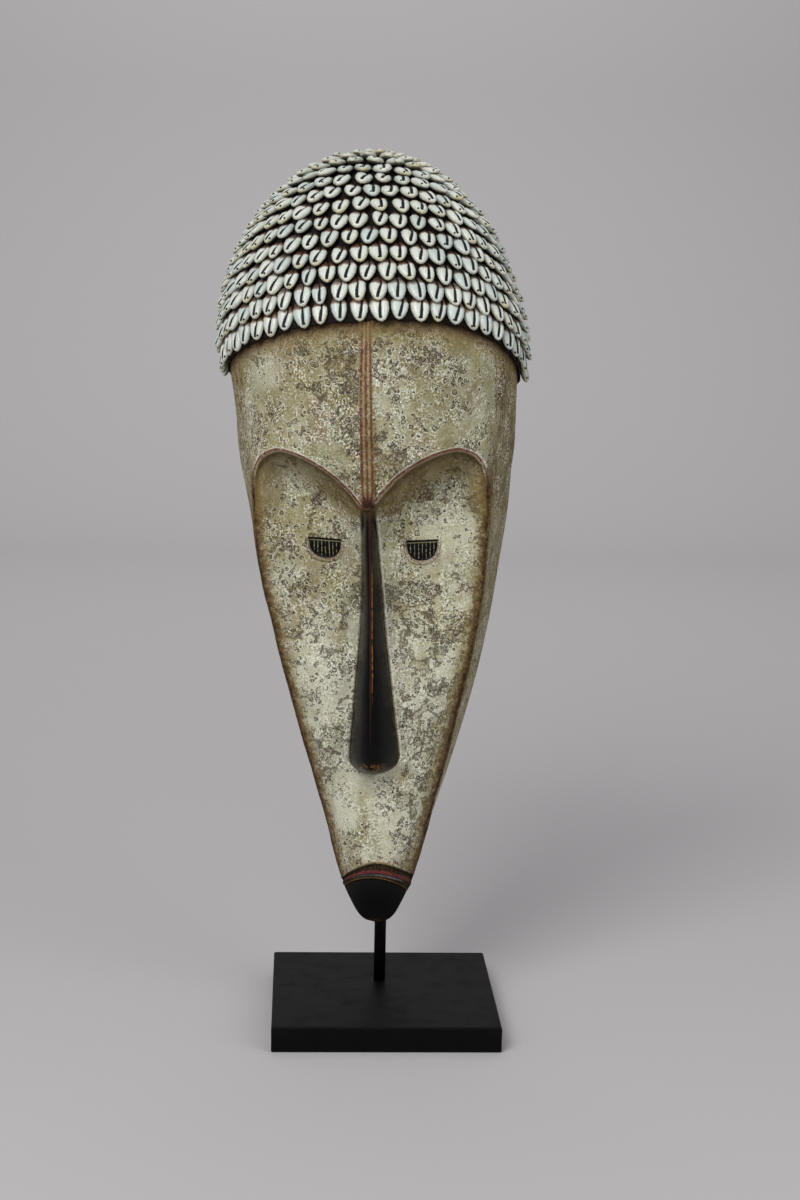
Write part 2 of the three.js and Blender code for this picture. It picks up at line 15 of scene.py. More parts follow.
import bpy
import numpy as np
from mathutils import Matrix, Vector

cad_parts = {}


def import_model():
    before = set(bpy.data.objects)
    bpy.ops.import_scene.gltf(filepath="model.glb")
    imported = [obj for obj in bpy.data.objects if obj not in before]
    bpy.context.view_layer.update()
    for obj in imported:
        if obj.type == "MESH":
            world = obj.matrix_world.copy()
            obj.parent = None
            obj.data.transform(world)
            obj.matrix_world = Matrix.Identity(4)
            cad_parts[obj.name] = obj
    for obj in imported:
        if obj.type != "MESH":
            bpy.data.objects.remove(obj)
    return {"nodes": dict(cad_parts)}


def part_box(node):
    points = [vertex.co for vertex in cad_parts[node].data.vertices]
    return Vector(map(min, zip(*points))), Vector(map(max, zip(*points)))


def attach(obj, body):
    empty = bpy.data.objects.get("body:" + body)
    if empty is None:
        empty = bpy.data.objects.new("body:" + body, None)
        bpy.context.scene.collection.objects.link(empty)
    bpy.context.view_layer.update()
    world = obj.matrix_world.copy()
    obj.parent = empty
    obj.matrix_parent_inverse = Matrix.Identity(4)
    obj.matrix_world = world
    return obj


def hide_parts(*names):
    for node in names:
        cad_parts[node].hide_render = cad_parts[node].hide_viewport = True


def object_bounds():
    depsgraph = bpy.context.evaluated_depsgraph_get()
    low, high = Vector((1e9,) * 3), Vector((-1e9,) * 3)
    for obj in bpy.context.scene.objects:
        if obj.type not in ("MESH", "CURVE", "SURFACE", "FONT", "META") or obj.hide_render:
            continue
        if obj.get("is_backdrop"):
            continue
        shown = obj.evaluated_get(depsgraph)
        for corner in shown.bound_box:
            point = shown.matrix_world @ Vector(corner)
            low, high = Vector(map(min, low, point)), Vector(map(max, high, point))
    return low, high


log = logging.getLogger("mask")

MM = 0.001
BODY = "root"
Array = np.ndarray
Pair = tuple[float, float]
Triple = tuple[float, float, float]
Stations = Sequence[Pair]
Colour = tuple[float, float, float, float]
Socket = bpy.types.NodeSocket
Piece = bpy.types.Object
Paint = Colour | Socket


def paint(red: int, green: int, blue: int) -> Colour:
    """Turns a colour as a screen shows it into the linear colour that a shader takes.

    Args:
        red, green, blue: the colour's channels, from 0 to 255.

    Returns:
        The linear colour with full alpha.
    """
    shares = np.array([red, green, blue]) / 255
    low = shares / 12.92
    high = ((shares + 0.055) / 1.055) ** 2.4
    return (*np.where(shares <= 0.04045, low, high).tolist(), 1.0)


def smoothstep(value: Array | float, low: float, high: float) -> Array:
    """Rises from 0 at low to 1 at high as 3t^2 - 2t^3, with t the share of the way.

    Args:
        value: where the step is read.
        low: the value where it starts.
        high: the value where it ends.

    Returns:
        The height of the step.
    """
    share = np.clip((np.asarray(value, float) - low) / (high - low), 0, 1)
    return share * share * (3 - 2 * share)


def lerp(start: Array | float, end: Array | float, share: Array | float) -> Array:
    """Value a share of the way from start to end: start + (end - start) * share."""
    return start + (end - start) * share


def through(stations: Stations, at: Array | float) -> Array:
    """Reads a smooth curve that passes through the stations and never overshoots them.

    Each stretch is a cubic whose end slopes are the harmonic means of the slopes on both sides, or 0
    where those differ in sign.

    Args:
        stations: pairs of place and value, in order of place.
        at: the places to read.

    Returns:
        The value at each place.
    """
    place, value = np.array(stations, float).T
    at = np.clip(np.asarray(at, float), place[0], place[-1])
    span = np.diff(place)
    secant = np.diff(value) / span
    product = secant[:-1] * secant[1:]
    total = np.where(product > 0, secant[:-1] + secant[1:], 1)
    inner = np.where(product > 0, 2 * product / total, 0)
    slope = np.concatenate([secant[:1], inner, secant[-1:]])
    index = np.clip(np.searchsorted(place, at, "right") - 1, 0, len(span) - 1)
    share = (at - place[index]) / span[index]
    rest = 1 - share
    return (
        (1 + 2 * share) * rest**2 * value[index]
        + share * rest**2 * span[index] * slope[index]
        + share**2 * (3 - 2 * share) * value[index + 1]
        - share**2 * rest * span[index] * slope[index + 1]
    )


def lattice_noise(points: Array, cell: float, seed: int) -> Array:
    """Smooth noise between 0 and 1: random values at the corners of cubes, blended by smoothsteps.

    Args:
        points: places of shape (..., 3).
        cell: the side of a cube, in the unit of the places.
        seed: picks the random values.

    Returns:
        The noise at each place.
    """
    side = 64
    values = np.random.default_rng(seed).random((side, side, side))
    scaled = points / cell
    corner = np.floor(scaled).astype(int)
    share = smoothstep(scaled - corner, 0, 1)
    total = np.zeros(points.shape[:-1])
    for dx in (0, 1):
        for dy in (0, 1):
            for dz in (0, 1):
                steps = np.array([dx, dy, dz])
                weight = np.prod(np.where(steps == 1, share, 1 - share), axis=-1)
                index = (corner + steps) % side
                total += weight * values[index[..., 0], index[..., 1], index[..., 2]]
    return total


class Material(Enum):
    """Names of the material slots, which nothing in this script uses."""

    WOOD = "painted_wood"
    CLOTH = "cap_cloth"
    SHELL = "cowrie_shell"
    BLACK = "black_paint"


class Value:
    """A number in a material's node tree, on which arithmetic adds the Math nodes that it needs."""

    def __init__(self, graph: Graph, socket: Socket) -> None:
        """Wraps an output socket of a node in the graph."""
        self.graph = graph
        self.socket = socket

    def math(self, operation: str, *others: Value | float) -> Value:
        """Adds a Math node of that operation on this value and the others."""
        return self.graph.math(operation, self, *others)

    def __add__(self, other: Value | float) -> Value:
        """Sum."""
        return self.math("ADD", other)

    __radd__ = __add__

    def __sub__(self, other: Value | float) -> Value:
        """Difference."""
        return self.math("SUBTRACT", other)

    def __rsub__(self, other: Value | float) -> Value:
        """Difference from another value."""
        return self.graph.math("SUBTRACT", other, self)

    def __mul__(self, other: Value | float) -> Value:
        """Product."""
        return self.math("MULTIPLY", other)

    __rmul__ = __mul__

    def __truediv__(self, other: Value | float) -> Value:
        """Quotient."""
        return self.math("DIVIDE", other)

    def __pow__(self, other: Value | float) -> Value:
        """Power."""
        return self.math("POWER", other)

    def __abs__(self) -> Value:
        """The value without its sign."""
        return self.math("ABSOLUTE")

    def least(self, other: Value | float) -> Value:
        """The smaller of two values."""
        return self.math("MINIMUM", other)

    def most(self, other: Value | float) -> Value:
        """The larger of two values."""
        return self.math("MAXIMUM", other)

    def rises(self, low: float | Value, high: float | Value) -> Value:
        """A smoothstep of the value: 3t^2 - 2t^3, with t the share of the way from low to high.

        Args:
            low: the value where it is 0.
            high: the value where it is 1.

        Returns:
            The height of the step.
        """
        ends = {"Value": self, "From Min": low, "From Max": high}
        made = self.graph.node("ShaderNodeMapRange", {"interpolation_type": "SMOOTHSTEP"}, ends)
        return Value(self.graph, made.outputs["Result"])

    def falls(self, low: float | Value, high: float | Value) -> Value:
        """A smoothstep from 1 at low to 0 at high."""
        return 1 - self.rises(low, high)

    def line(self, half_width: float, softness: float) -> Value:
        """1 where the value is within half_width of 0, falling to 0 over the softness."""
        return abs(self).falls(half_width, half_width + softness)


class Graph:
    """The node tree of one material, with a Principled shader at its end."""

    def __init__(self, name: str) -> None:
        """Starts a material of that name with an empty tree and its shader.

        Args:
            name: the material's name.
        """
        self.material = bpy.data.materials.new(name)
        self.material.use_nodes = True
        self.tree = self.material.node_tree
        self.tree.nodes.clear()
        self.shader = self.node("ShaderNodeBsdfPrincipled", {}, {})
        self.node("ShaderNodeOutputMaterial", {}, {"Surface": self.shader.outputs["BSDF"]})

    def node(self, kind: str, settings: dict, inputs: dict) -> bpy.types.Node:
        """Adds a node of any type.

        Args:
            kind: the node's type.
            settings: its own settings, made first.
            inputs: a value, a Value or a socket for each input, by its name or number.

        Returns:
            The node.
        """
        made = self.tree.nodes.new(kind)
        for key, setting in settings.items():
            setattr(made, key, setting)
        for key, given in inputs.items():
            self.feed(made.inputs[key], given)
        return made

    def feed(self, socket: Socket, given: Value | Paint | float) -> None:
        """Links an input to what makes its value, or sets it to a plain value.

        Args:
            socket: the input.
            given: a Value, a socket, or a plain number, colour or vector.
        """
        given = given.socket if isinstance(given, Value) else given
        if isinstance(given, Socket):
            self.tree.links.new(given, socket)
        else:
            socket.default_value = given

    def math(self, operation: str, *values: Value | float) -> Value:
        """Adds a Math node of that operation on the values."""
        made = self.node("ShaderNodeMath", {"operation": operation}, dict(enumerate(values)))
        return Value(self, made.outputs[0])

    def attribute(self, name: str) -> Socket:
        """The vector that a mesh attribute holds."""
        return self.node("ShaderNodeAttribute", {"attribute_name": name}, {}).outputs["Vector"]

    def parts(self, vector: Socket) -> tuple[Value, Value, Value]:
        """The three numbers of a vector."""
        made = self.node("ShaderNodeSeparateXYZ", {}, {0: vector})
        return tuple(Value(self, output) for output in made.outputs)

    def scaled(self, vector: Socket, by: Triple) -> Socket:
        """A vector with each of its numbers multiplied."""
        return self.node("ShaderNodeVectorMath", {"operation": "MULTIPLY"}, {0: vector, 1: by}).outputs[0]

    def noise(self, vector: Socket, cell: float, detail: float = 2.0, rough: float = 0.5) -> Value:
        """Noise between 0 and 1, mostly near the middle.

        Args:
            vector: the place.
            cell: how far across its blotches are.
            detail: how many finer layers are added.
            rough: how strong each finer layer is.

        Returns:
            The noise.
        """
        inputs = {"Vector": vector, "Scale": 1 / cell, "Detail": detail, "Roughness": rough}
        return Value(self, self.node("ShaderNodeTexNoise", {}, inputs).outputs[0])

    def shifted(self, vector: Socket, cell: float, by: float) -> Socket:
        """A vector pushed about by noise, so that what is drawn on it has uneven edges.

        Args:
            vector: the place.
            cell: how far across the noise's blotches are.
            by: how far a place is pushed at most.

        Returns:
            The vector plus by times the noise's colour.
        """
        wander = self.node("ShaderNodeTexNoise", {}, {"Vector": vector, "Scale": 1 / cell}).outputs["Color"]
        settings = {"operation": "MULTIPLY_ADD"}
        inputs = {0: wander, 1: (by, by, by), 2: vector}
        return self.node("ShaderNodeVectorMath", settings, inputs).outputs[0]

    def mix(self, share: Value | float, start: Paint, end: Paint, blend: str = "MIX") -> Socket:
        """A colour some share of the way from start to end, or from start to what the blend makes."""
        settings = {"data_type": "RGBA", "blend_type": blend}
        return self.node("ShaderNodeMix", settings, {0: share, 6: start, 7: end}).outputs[2]

    def finish(
        self,
        colour: Paint,
        roughness: Value | float,
        height: Value | None = None,
        relief: float = 0.0,
        gloss: float = 0.5,
    ) -> bpy.types.Material:
        """Sets the shader's colour, roughness and gloss, and its normal from a height.

        Args:
            colour: the base colour, or the socket that makes it.
            roughness: the roughness, or the value that makes it.
            height: the height of the surface from 0 to 1, or None.
            relief: how far a height of 1 stands out, in metres.
            gloss: how strongly the surface reflects, 0.5 for plain varnish.

        Returns:
            The material.
        """
        self.shader.inputs["Specular IOR Level"].default_value = gloss
        self.feed(self.shader.inputs["Base Color"], colour)
        self.feed(self.shader.inputs["Roughness"], roughness)
        if height is not None:
            bump = self.node("ShaderNodeBump", {}, {"Height": height, "Distance": relief, "Strength": 1.0})
            self.feed(self.shader.inputs["Normal"], bump.outputs[0])
        return self.material


@dataclass
class Surface:
    """The points and faces of a mesh, gathered from grids, with what its materials read at each point."""

    name: str
    points: list[Array] = field(default_factory=list)
    quads: list[Array] = field(default_factory=list)
    slots: list[Array] = field(default_factory=list)
    notes: dict[str, list[Array]] = field(default_factory=dict)
    count: int = 0

    def add(self, points: Array, quads: Array, slot: int = 0, **notes: Array) -> Array:
        """Adds points and the faces between them.

        Args:
            points: places of shape (..., 3), in metres.
            quads: faces of shape (n, 4), as numbers of these points.
            slot: the material slot of these faces.
            **notes: attributes of shape (..., 3), one vector a point.

        Returns:
            The numbers that the points have in the whole mesh, in the shape of the points.
        """
        flat = points.reshape(-1, 3)
        numbers = np.arange(len(flat)).reshape(points.shape[:-1]) + self.count
        self.points.append(flat)
        self.join(quads + self.count, slot)
        for key, note in notes.items():
            self.notes.setdefault(key, []).append(note.reshape(-1, 3))
        self.count += len(flat)
        return numbers

    def join(self, quads: Array, slot: int = 0) -> None:
        """Adds faces between points that are in the mesh already."""
        self.quads.append(quads.reshape(-1, 4))
        self.slots.append(np.full(len(self.quads[-1]), slot))

    def bridge(self, first: Array, second: Array, slot: int = 0) -> None:
        """Closes the gap between two lines of points, with one face for each stretch of them."""
        self.join(np.stack([first[:-1], second[:-1], second[1:], first[1:]], -1), slot)

    def build(self, materials: Sequence[bpy.types.Material], weld: float = 1e-6) -> Piece:
        """Makes the mesh object: doubles are welded and faces that shrink to a line are dropped.

        Args:
            materials: the materials of the slots.
            weld: the distance under which points are one point, in metres.

        Returns:
            The object, at the origin.
        """
        points = np.concatenate(self.points)
        quads = np.concatenate(self.quads)
        slots = np.concatenate(self.slots)
        keys = np.round(points / weld).astype(np.int64)
        _, first, twin = np.unique(keys, axis=0, return_index=True, return_inverse=True)
        twin = twin.reshape(-1)
        faces = twin[quads]
        triangles = np.concatenate([faces[:, [0, 1, 2]], faces[:, [0, 2, 3]]])
        pinched = (faces == np.roll(faces, 1, axis=1)).any(axis=1)
        halves = np.concatenate([pinched, pinched])
        triangles = triangles[halves]
        flat = (triangles == np.roll(triangles, 1, axis=1)).any(axis=1)
        whole = faces[~pinched]
        order = np.concatenate([slots[~pinched], np.concatenate([slots, slots])[halves][~flat]])
        mesh = bpy.data.meshes.new(self.name)
        mesh.from_pydata(points[first].tolist(), [], [*whole.tolist(), *triangles[~flat].tolist()])
        for key, note in self.notes.items():
            layer = mesh.attributes.new(key, "FLOAT_VECTOR", "POINT")
            layer.data.foreach_set("vector", np.concatenate(note)[first].astype(np.float32).ravel())
        for material in materials:
            mesh.materials.append(material)
        mesh.polygons.foreach_set("material_index", order.astype(np.int32))
        mesh.polygons.foreach_set("use_smooth", np.ones(len(order), bool))
        mesh.validate()
        mesh.update()
        made = bpy.data.objects.new(self.name, mesh)
        bpy.context.scene.collection.objects.link(made)
        return made


def grid_quads(rows: int, columns: int, closed: bool = False) -> Array:
    """Faces between neighbouring points of a grid.

    Args:
        rows: how many rows of points.
        columns: how many points in a row.
        closed: whether the last point of a row meets the first.

    Returns:
        Faces of shape (n, 4), as numbers of the points, row by row.
    """
    numbers = np.arange(rows * columns).reshape(rows, columns)
    if closed:
        numbers = np.concatenate([numbers, numbers[:, :1]], axis=1)
    corners = [numbers[:-1, :-1], numbers[:-1, 1:], numbers[1:, 1:], numbers[1:, :-1]]
    return np.stack(corners, axis=-1).reshape(-1, 4)


@dataclass(frozen=True)
class MaskFrame:
    """Where the mask's own frame lies in the scene: turned about z, leant back, then leant sideways."""

    origin: Triple = (-1.8, 12.5, 88.0)
    turn: float = -7.0
    lean_back: float = -5.0
    lean_side: float = -1.6

    def axes(self) -> Array:
        """The frame's axes: a turn about z, times one about x, times one about y.

        Returns:
            A matrix whose columns are the axes.
        """
        turns = ((self.turn, "Z"), (self.lean_back, "X"), (self.lean_side, "Y"))
        z, x, y = (np.array(Matrix.Rotation(math.radians(angle), 3, axis)) for angle, axis in turns)
        return z @ x @ y

    def place(self, across: Array, depth: Array, height: Array) -> Array:
        """Points of the mask in the scene, in metres."""
        local = np.stack(np.broadcast_arrays(across, -depth, height), axis=-1)
        return (local @ self.axes().T + np.array(self.origin)) * MM


@dataclass(frozen=True)
class MaskForm:
    """The shape of the carving, in its own frame, as functions of the place across and the height."""

    wall: float = 12.0
    dome_centre: Pair = (20.0, 440.0)
    dome_radii: Triple = (114.3, 110.0, 158.0)
    chin_tip: float = -10.5
    hollow_tip: float = 16.0
    hollow_rows_meet: float = 60.0
    lip_level: float = 34.0
    nose_bottom: float = 119.0
    nose_root: float = 327.0
    brow_level: float = 352.0
    dome_starts: float = 405.0
    side_half_width: Stations = (
        (-10.5, 0), (-8, 5), (-4, 8), (2, 11.5), (16, 17.5), (31, 24), (52, 32.5), (81, 43), (116, 55.2),
        (186, 76.3), (227, 86), (270, 94.4), (331, 105.2), (375, 110), (405, 111.4), (440, 114.3),
    )
    rim_half_width: Stations = (
        (-10.5, 0), (-9.6, 6), (-8, 9.6), (-4.4, 13.4), (1.3, 17.4), (17.6, 25.3), (36, 31.8), (87, 44.7),
        (161, 63.8), (232, 80), (274, 87.3), (325, 91.2), (345, 91.4), (380, 94), (405, 96),
    )
    rim_depth: Stations = (
        (-10.5, 18), (10, 27), (30, 33), (102, 39), (141, 43), (190, 51), (253, 64), (300, 74), (325, 75),
    )
    face_middle: Stations = (
        (-10.5, 20), (34, 60), (60, 63), (125, 67), (190, 74), (250, 81), (300, 87), (327, 90),
    )
    forehead_middle: Stations = ((-10.5, 60), (250, 101), (325, 112), (360, 120), (405, 127.3), (440, 130))
    nose_half_width: Stations = (
        (119, 19.8), (137, 19.4), (160, 17), (193, 14), (233, 9.9), (274, 7.5), (327, 5.2),
    )
    nose_ridge: Stations = ((119, 95), (140, 98), (190, 99), (250, 101), (315, 105), (327, 111))
    hollow_middle: Stations = (
        (16, 4), (40, 24), (81, 35), (125, 43), (190, 50), (300, 56), (335, 66), (370, 92), (405, 115.2),
        (440, 118),
    )
    brow_line: Stations = (
        (0, 326), (4, 330), (12.5, 341), (31.5, 357.4), (54, 369.3), (69, 372.6), (81.4, 368.6),
        (87.5, 361), (90.4, 351), (91.4, 336),
    )
    sway: Stations = ((-10.5, -2.5), (75, 0), (230, 0), (320, -1.4), (380, -1.3), (500, -6.5))
    cap_edge: float = 430.0
    cap_tilt: float = 0.26
    cap_roll: float = 0.058
    cap_sag: float = 34.0
    brow_lip: float = 3.5
    brow_lip_share: float = 0.28
    brow_cove: float = 26.0
    brow_rows_bend: float = 50.0
    eye_hollow: float = 8.0
    eye_hollow_span: Pair = (180.0, 290.0)
    nose_end_rounding: float = 10.0
    nose_end_arch: float = 13.0
    mouth_droop: float = 14.7
    mouth_droop_ends: float = 90.0
    mouth_tilt: float = 0.052
    arch_top: float = 47.3
    arch_bend: float = 0.020
    arch_tilt: float = 0.054
    chin_step: float = 2.5
    chin_step_height: float = 0.7
    chin_step_fades: float = 10.0
    chin_step_power: float = 6.0
    forehead_power: float = 2.0
    forehead_squarer_low: float = 0.5
    face_power: float = 2.4
    eye_face_power: float = 2.6
    nose_power: float = 1.7
    wall_power: float = 0.8
    side_round: Pair = (310.0, 385.0)
    brow_samples: int = 141
    mouth_fades: Pair = (60.0, 62.0)
    stripe_spacing: float = 3.85
    stripes_part: Pair = (320.0, 344.0)
    stripe_closing: float = 0.85
    stripes_close: Pair = (405.0, 460.0)
    stripe_shift: float = 0.5
    stripes_shift: Pair = (411.0, 457.0)

    def share_of(self, across: Array, half_width: Array) -> Array:
        """How far across a half width a point lies, from 0 in the middle to 1 at the edge."""
        return np.clip(np.abs(across) / np.maximum(half_width, 1e-6), 0, 1) * (half_width > 0)

    def above_cap_edge(
        self, across: Array | Value | float, depth: Array | Value, height: Array | Value
    ) -> Array | Value:
        """Height above the cap's edge, which rises forwards and to the right."""
        return height - self.cap_tilt * depth - self.cap_lean(across, depth) - self.cap_edge

    def cap_lean(self, across: Array | Value | float, depth: Array | Value) -> Array | Value:
        """How much higher the cap sits than straight: a roll to the right, which sags at the right side.

        The sag is the share across times s^2 (1.5 - s), with s the share of the way to the back.

        Args:
            across: place across.
            depth: place forwards.

        Returns:
            The height in millimetres.
        """
        front = self.dome_centre[0] + self.dome_radii[1]
        to_back = (front - depth) / front
        right = (abs(across) + across) / (2 * self.dome_radii[0])
        return self.cap_roll * across - self.cap_sag * right * to_back * to_back * (1.5 - to_back)

    def below_brow(self, across: Array, height: Array) -> Array:
        """Distance below the brow line: to the nearest of its short straight pieces, negative above it.

        Args:
            across: place across.
            height: height on the mask.

        Returns:
            The distance at each point.
        """
        end = self.brow_line[-1]
        along = np.linspace(0, end[0], self.brow_samples)
        line = np.stack([along, through(self.brow_line, along)], axis=-1)
        flat = np.stack([np.abs(across), height], axis=-1).reshape(-1, 2)
        nearest = np.full(len(flat), np.inf)
        for start, stop in zip(line[:-1], line[1:]):
            step = stop - start
            share = np.clip((flat - start) @ step / (step @ step), 0, 1)
            gap = flat - start - share[:, None] * step
            nearest = np.minimum(nearest, np.hypot(gap[:, 0], gap[:, 1]))
        edge = np.where(flat[:, 0] >= end[0], end[1], through(self.brow_line, flat[:, 0]))
        return np.where(flat[:, 1] > edge, -nearest, nearest).reshape(np.shape(across))

    def forehead_depth(self, across: Array, height: Array) -> Array:
        """Depth of the unbroken forehead: reach times (1 - share^n)^(1/n) before the widest line.

        Args:
            across: place across.
            height: height on the mask.

        Returns:
            The depth at each point.
        """
        square = 1 - smoothstep(height, self.nose_root, self.dome_starts)
        power = self.forehead_power + self.forehead_squarer_low * square
        share = self.share_of(across, through(self.side_half_width, height))
        reach = through(self.forehead_middle, height) - self.dome_centre[0]
        return self.dome_centre[0] + reach * (1 - share**power) ** (1 / power)

    def chin_edge(self, across: Array, height: Array) -> Array:
        """Height of the arched upper edge of the chin, which hangs lower on the right."""
        share = self.share_of(across, through(self.rim_half_width, height))
        return self.lip_level - self.mouth_droop * share**2 - self.mouth_tilt * across

    def mouth_arch(self, across: Array | Value) -> Array | Value:
        """Height of the thin arch over the mouth: a parabola with its right end a little higher."""
        return self.arch_top - self.arch_bend * across * across + self.arch_tilt * across

    def face_depth(self, across: Array, height: Array) -> Array:
        """Depth of the sunken face: a rise over the rim that falls off with a power of the share.

        Args:
            across: place across.
            height: height on the mask.

        Returns:
            The depth at each point.
        """
        rim = through(self.rim_depth, height)
        rise = through(self.face_middle, height) - rim
        share = self.share_of(across, through(self.rim_half_width, height))
        scooped = smoothstep(height, *self.eye_hollow_span)
        section = lerp(1 - share**self.face_power, (1 - share) ** self.eye_face_power, scooped)
        below_lips = smoothstep(self.chin_edge(across, height) - height, 0, self.chin_step_height)
        step = self.chin_step * below_lips * smoothstep(height, self.chin_tip, self.chin_step_fades)
        step = step * (1 - share**self.chin_step_power)
        return rim + rise * section - self.eye_hollow * scooped * np.sin(np.pi * share) - step

    def nose_end(self, across: Array) -> Array:
        """Height of the lower end of the nose, which rises to both sides as a quarter circle does.

        Args:
            across: place across.

        Returns:
            The height at each place.
        """
        widest = self.nose_half_width[0][1]
        arch = 1 - np.sqrt(1 - self.share_of(across, np.full(np.shape(across), widest)) ** 2)
        return self.nose_bottom + self.nose_end_arch * arch

    def nose_inset(self, across: Array, height: Array) -> Array:
        """How far a point lies inside the outline of the nose: the least distance to its three edges.

        Args:
            across: place across.
            height: height on the mask.

        Returns:
            The distance at each point, negative outside the outline.
        """
        above_end = height - self.nose_end(across)
        beside = through(self.nose_half_width, height) - np.abs(across)
        return np.minimum(np.minimum(above_end, beside), self.nose_root - height)

    def nose_rise(self, across: Array, height: Array) -> Array:
        """How far the nose stands out of the face: a rounded wedge with a rounded lower end.

        Args:
            across: place across.
            height: height on the mask.

        Returns:
            The height over the face, 0 beside the nose.
        """
        share = self.share_of(across, through(self.nose_half_width, height))
        from_end = np.clip((height - self.nose_end(across)) / self.nose_end_rounding, 0, 1)
        stands = through(self.nose_ridge, height) - through(self.face_middle, height)
        rise = stands * (1 - share**self.nose_power) * np.sqrt(1 - (1 - from_end) ** 2)
        return np.where(height > self.nose_root, 0, rise)

    def front_depth(self, across: Array, height: Array) -> Array:
        """Depth of the finished front: face, cove and lip under the brow line, forehead above it.

        Args:
            across: place across.
            height: height on the mask.

        Returns:
            The depth at each point.
        """
        forehead = self.forehead_depth(across, height)
        face = self.face_depth(across, height)
        below = self.below_brow(across, height)
        cove = (1 - self.brow_lip_share) * (1 - np.clip(below / self.brow_cove, 0, 1)) ** 2
        lip = self.brow_lip_share * (1 - smoothstep(below, 0, self.brow_lip))
        carved = face + np.maximum(forehead - face, 0) * (cove + lip)
        nosed = np.maximum(carved, face + self.nose_rise(across, height))
        return np.where(below <= 0, forehead, nosed)

    def row_height(self, level: Array, across: Array) -> Array:
        """Height of a row of the grid: rows bend to follow the brow line and the arch of the lips.

        Args:
            level: height of the row before it bends.
            across: place across.

        Returns:
            The height at each point.
        """
        near_brow = smoothstep(level, self.brow_level - self.brow_rows_bend, self.brow_level)
        near_brow = near_brow * (1 - smoothstep(level, self.brow_level, self.dome_starts))
        near_lips = smoothstep(level, self.chin_tip, self.lip_level)
        near_lips = near_lips * (1 - smoothstep(level, self.lip_level, self.mouth_droop_ends))
        share = self.share_of(across, through(self.rim_half_width, level))
        brow_rise = through(self.brow_line, np.abs(across)) - self.brow_level
        lip_fall = self.mouth_droop * share**2 + self.mouth_tilt * across
        return level + near_brow * brow_rise - near_lips * lip_fall

    def wall_point(
        self, rim_x: Array, rim_depth: Array, height: Array, share: Array
    ) -> tuple[Array, Array]:
        """Points on the side wall, from the rim to the flat back.

        Low down the wall is straight, and beside the forehead it is round: a share of the angle from
        the rim's to the back edge's, on the ellipse of the head.

        Args:
            rim_x: place across of the rim.
            rim_depth: depth of the rim.
            height: height of the rim.
            share: how far down the wall each point is, from 0 to 1.

        Returns:
            The place across and the depth of each point.
        """
        side = through(self.side_half_width, height)
        roundness = smoothstep(height, *self.side_round)
        reach = through(self.forehead_middle, height) - self.dome_centre[0]
        rim_angle = np.arcsin(self.share_of(rim_x, side))
        back_angle = np.arccos(-self.dome_centre[0] / reach)
        angle = lerp(rim_angle, back_angle, share)
        round_depth = np.where(share >= 1, 0, self.dome_centre[0] + reach * np.cos(angle))
        straight = lerp(rim_x, side, share**self.wall_power)
        across = lerp(straight, side * np.sin(angle), roundness)
        return across, lerp(rim_depth * (1 - share), round_depth, roundness)

    def plane_arc(self, radii: Array, back: Array, front: Array, shares: Array) -> Array:
        """Arcs over the ellipsoid of the head, each in a plane through two points of its side view.

        The side view is scaled to a circle of radius 1. The plane cuts the head in an ellipse, whose
        angle runs from 0 at the front to its angle at the flat back.

        Args:
            radii: the radii across, forwards and upwards.
            back: the points at the flat back, of shape (..., 2), in the scaled side view.
            front: the points at the front, of the same shape.
            shares: how far round each point stands, from -1 to 1, of a shape that spreads to (...).

        Returns:
            The place across, depth and height of each point, of shape (..., 3).
        """
        along = (front - back) / np.linalg.norm(front - back, axis=-1, keepdims=True)
        centre = back - along * np.sum(back * along, axis=-1, keepdims=True)
        radius = np.sqrt(np.clip(1 - np.sum(centre**2, axis=-1), 0, 1))
        reach = np.sum(back * along, axis=-1) / np.maximum(radius, 1e-9)
        angle = np.arccos(np.clip(reach, -1, 1)) * shares
        side = centre + along * (radius * np.cos(angle))[..., None]
        across = radii[0] * radius * np.sin(angle)
        depth = self.dome_centre[0] + radii[1] * side[..., 0]
        return np.stack([across, depth, self.dome_centre[1] + radii[2] * side[..., 1]], axis=-1)

    def dome_rows(self, radii: Array, shares: Array, climbs: Array) -> Array:
        """Rows over the dome, as place across, depth and height: the ends climb the flat back edge.

        Args:
            radii: the radii of the dome across, forwards and upwards.
            shares: how far round the points of a row stand, from -1 to 1.
            climbs: how far up each row stands, with 1 at the top.

        Returns:
            Points of shape (climbs, shares, 3).
        """
        back_depth = -self.dome_centre[0] / radii[1]
        back_radius = math.sqrt(1 - back_depth**2)
        top_angle = math.acos(back_depth)
        back = np.stack([np.full(len(climbs), back_depth), back_radius * np.sin(climbs * np.pi / 2)], -1)
        front = np.stack([np.cos(climbs * top_angle), np.sin(climbs * top_angle)], -1)
        rows = self.plane_arc(radii, back[:-1, None], front[:-1, None], shares)
        top = np.array([0, 0, self.dome_centre[1] + radii[2] * back_radius])
        return np.concatenate([rows, np.broadcast_to(top, (1, len(shares), 3))])

    def hollow_rows(self, levels: Array, shares: Array) -> Array:
        """Rows of the hollow: ellipses cut off at the flat back, narrowing to a line above the chin.

        Args:
            levels: heights of the rows.
            shares: how far round the points of a row stand, from -1 to 1.

        Returns:
            Points of shape (levels, shares, 3) as place across, depth and height.
        """
        meets = 1 - smoothstep(levels, self.chin_tip, self.hollow_rows_meet)
        height = (levels + (self.hollow_tip - self.chin_tip) * meets)[:, None]
        above = np.maximum(height - self.hollow_tip, 0)
        opening = np.sqrt(above / (above + self.wall))
        half = (through(self.side_half_width, height) - self.wall) * opening
        widest = self.dome_centre[0] * smoothstep(height, self.nose_root, self.dome_starts)
        reach = through(self.hollow_middle, height) - widest
        angle = shares * np.arccos(-widest / reach)
        depth = np.where(np.abs(shares) >= 1, 0, widest + reach * np.cos(angle))
        return np.stack(np.broadcast_arrays(half * np.sin(angle), depth, height), axis=-1)

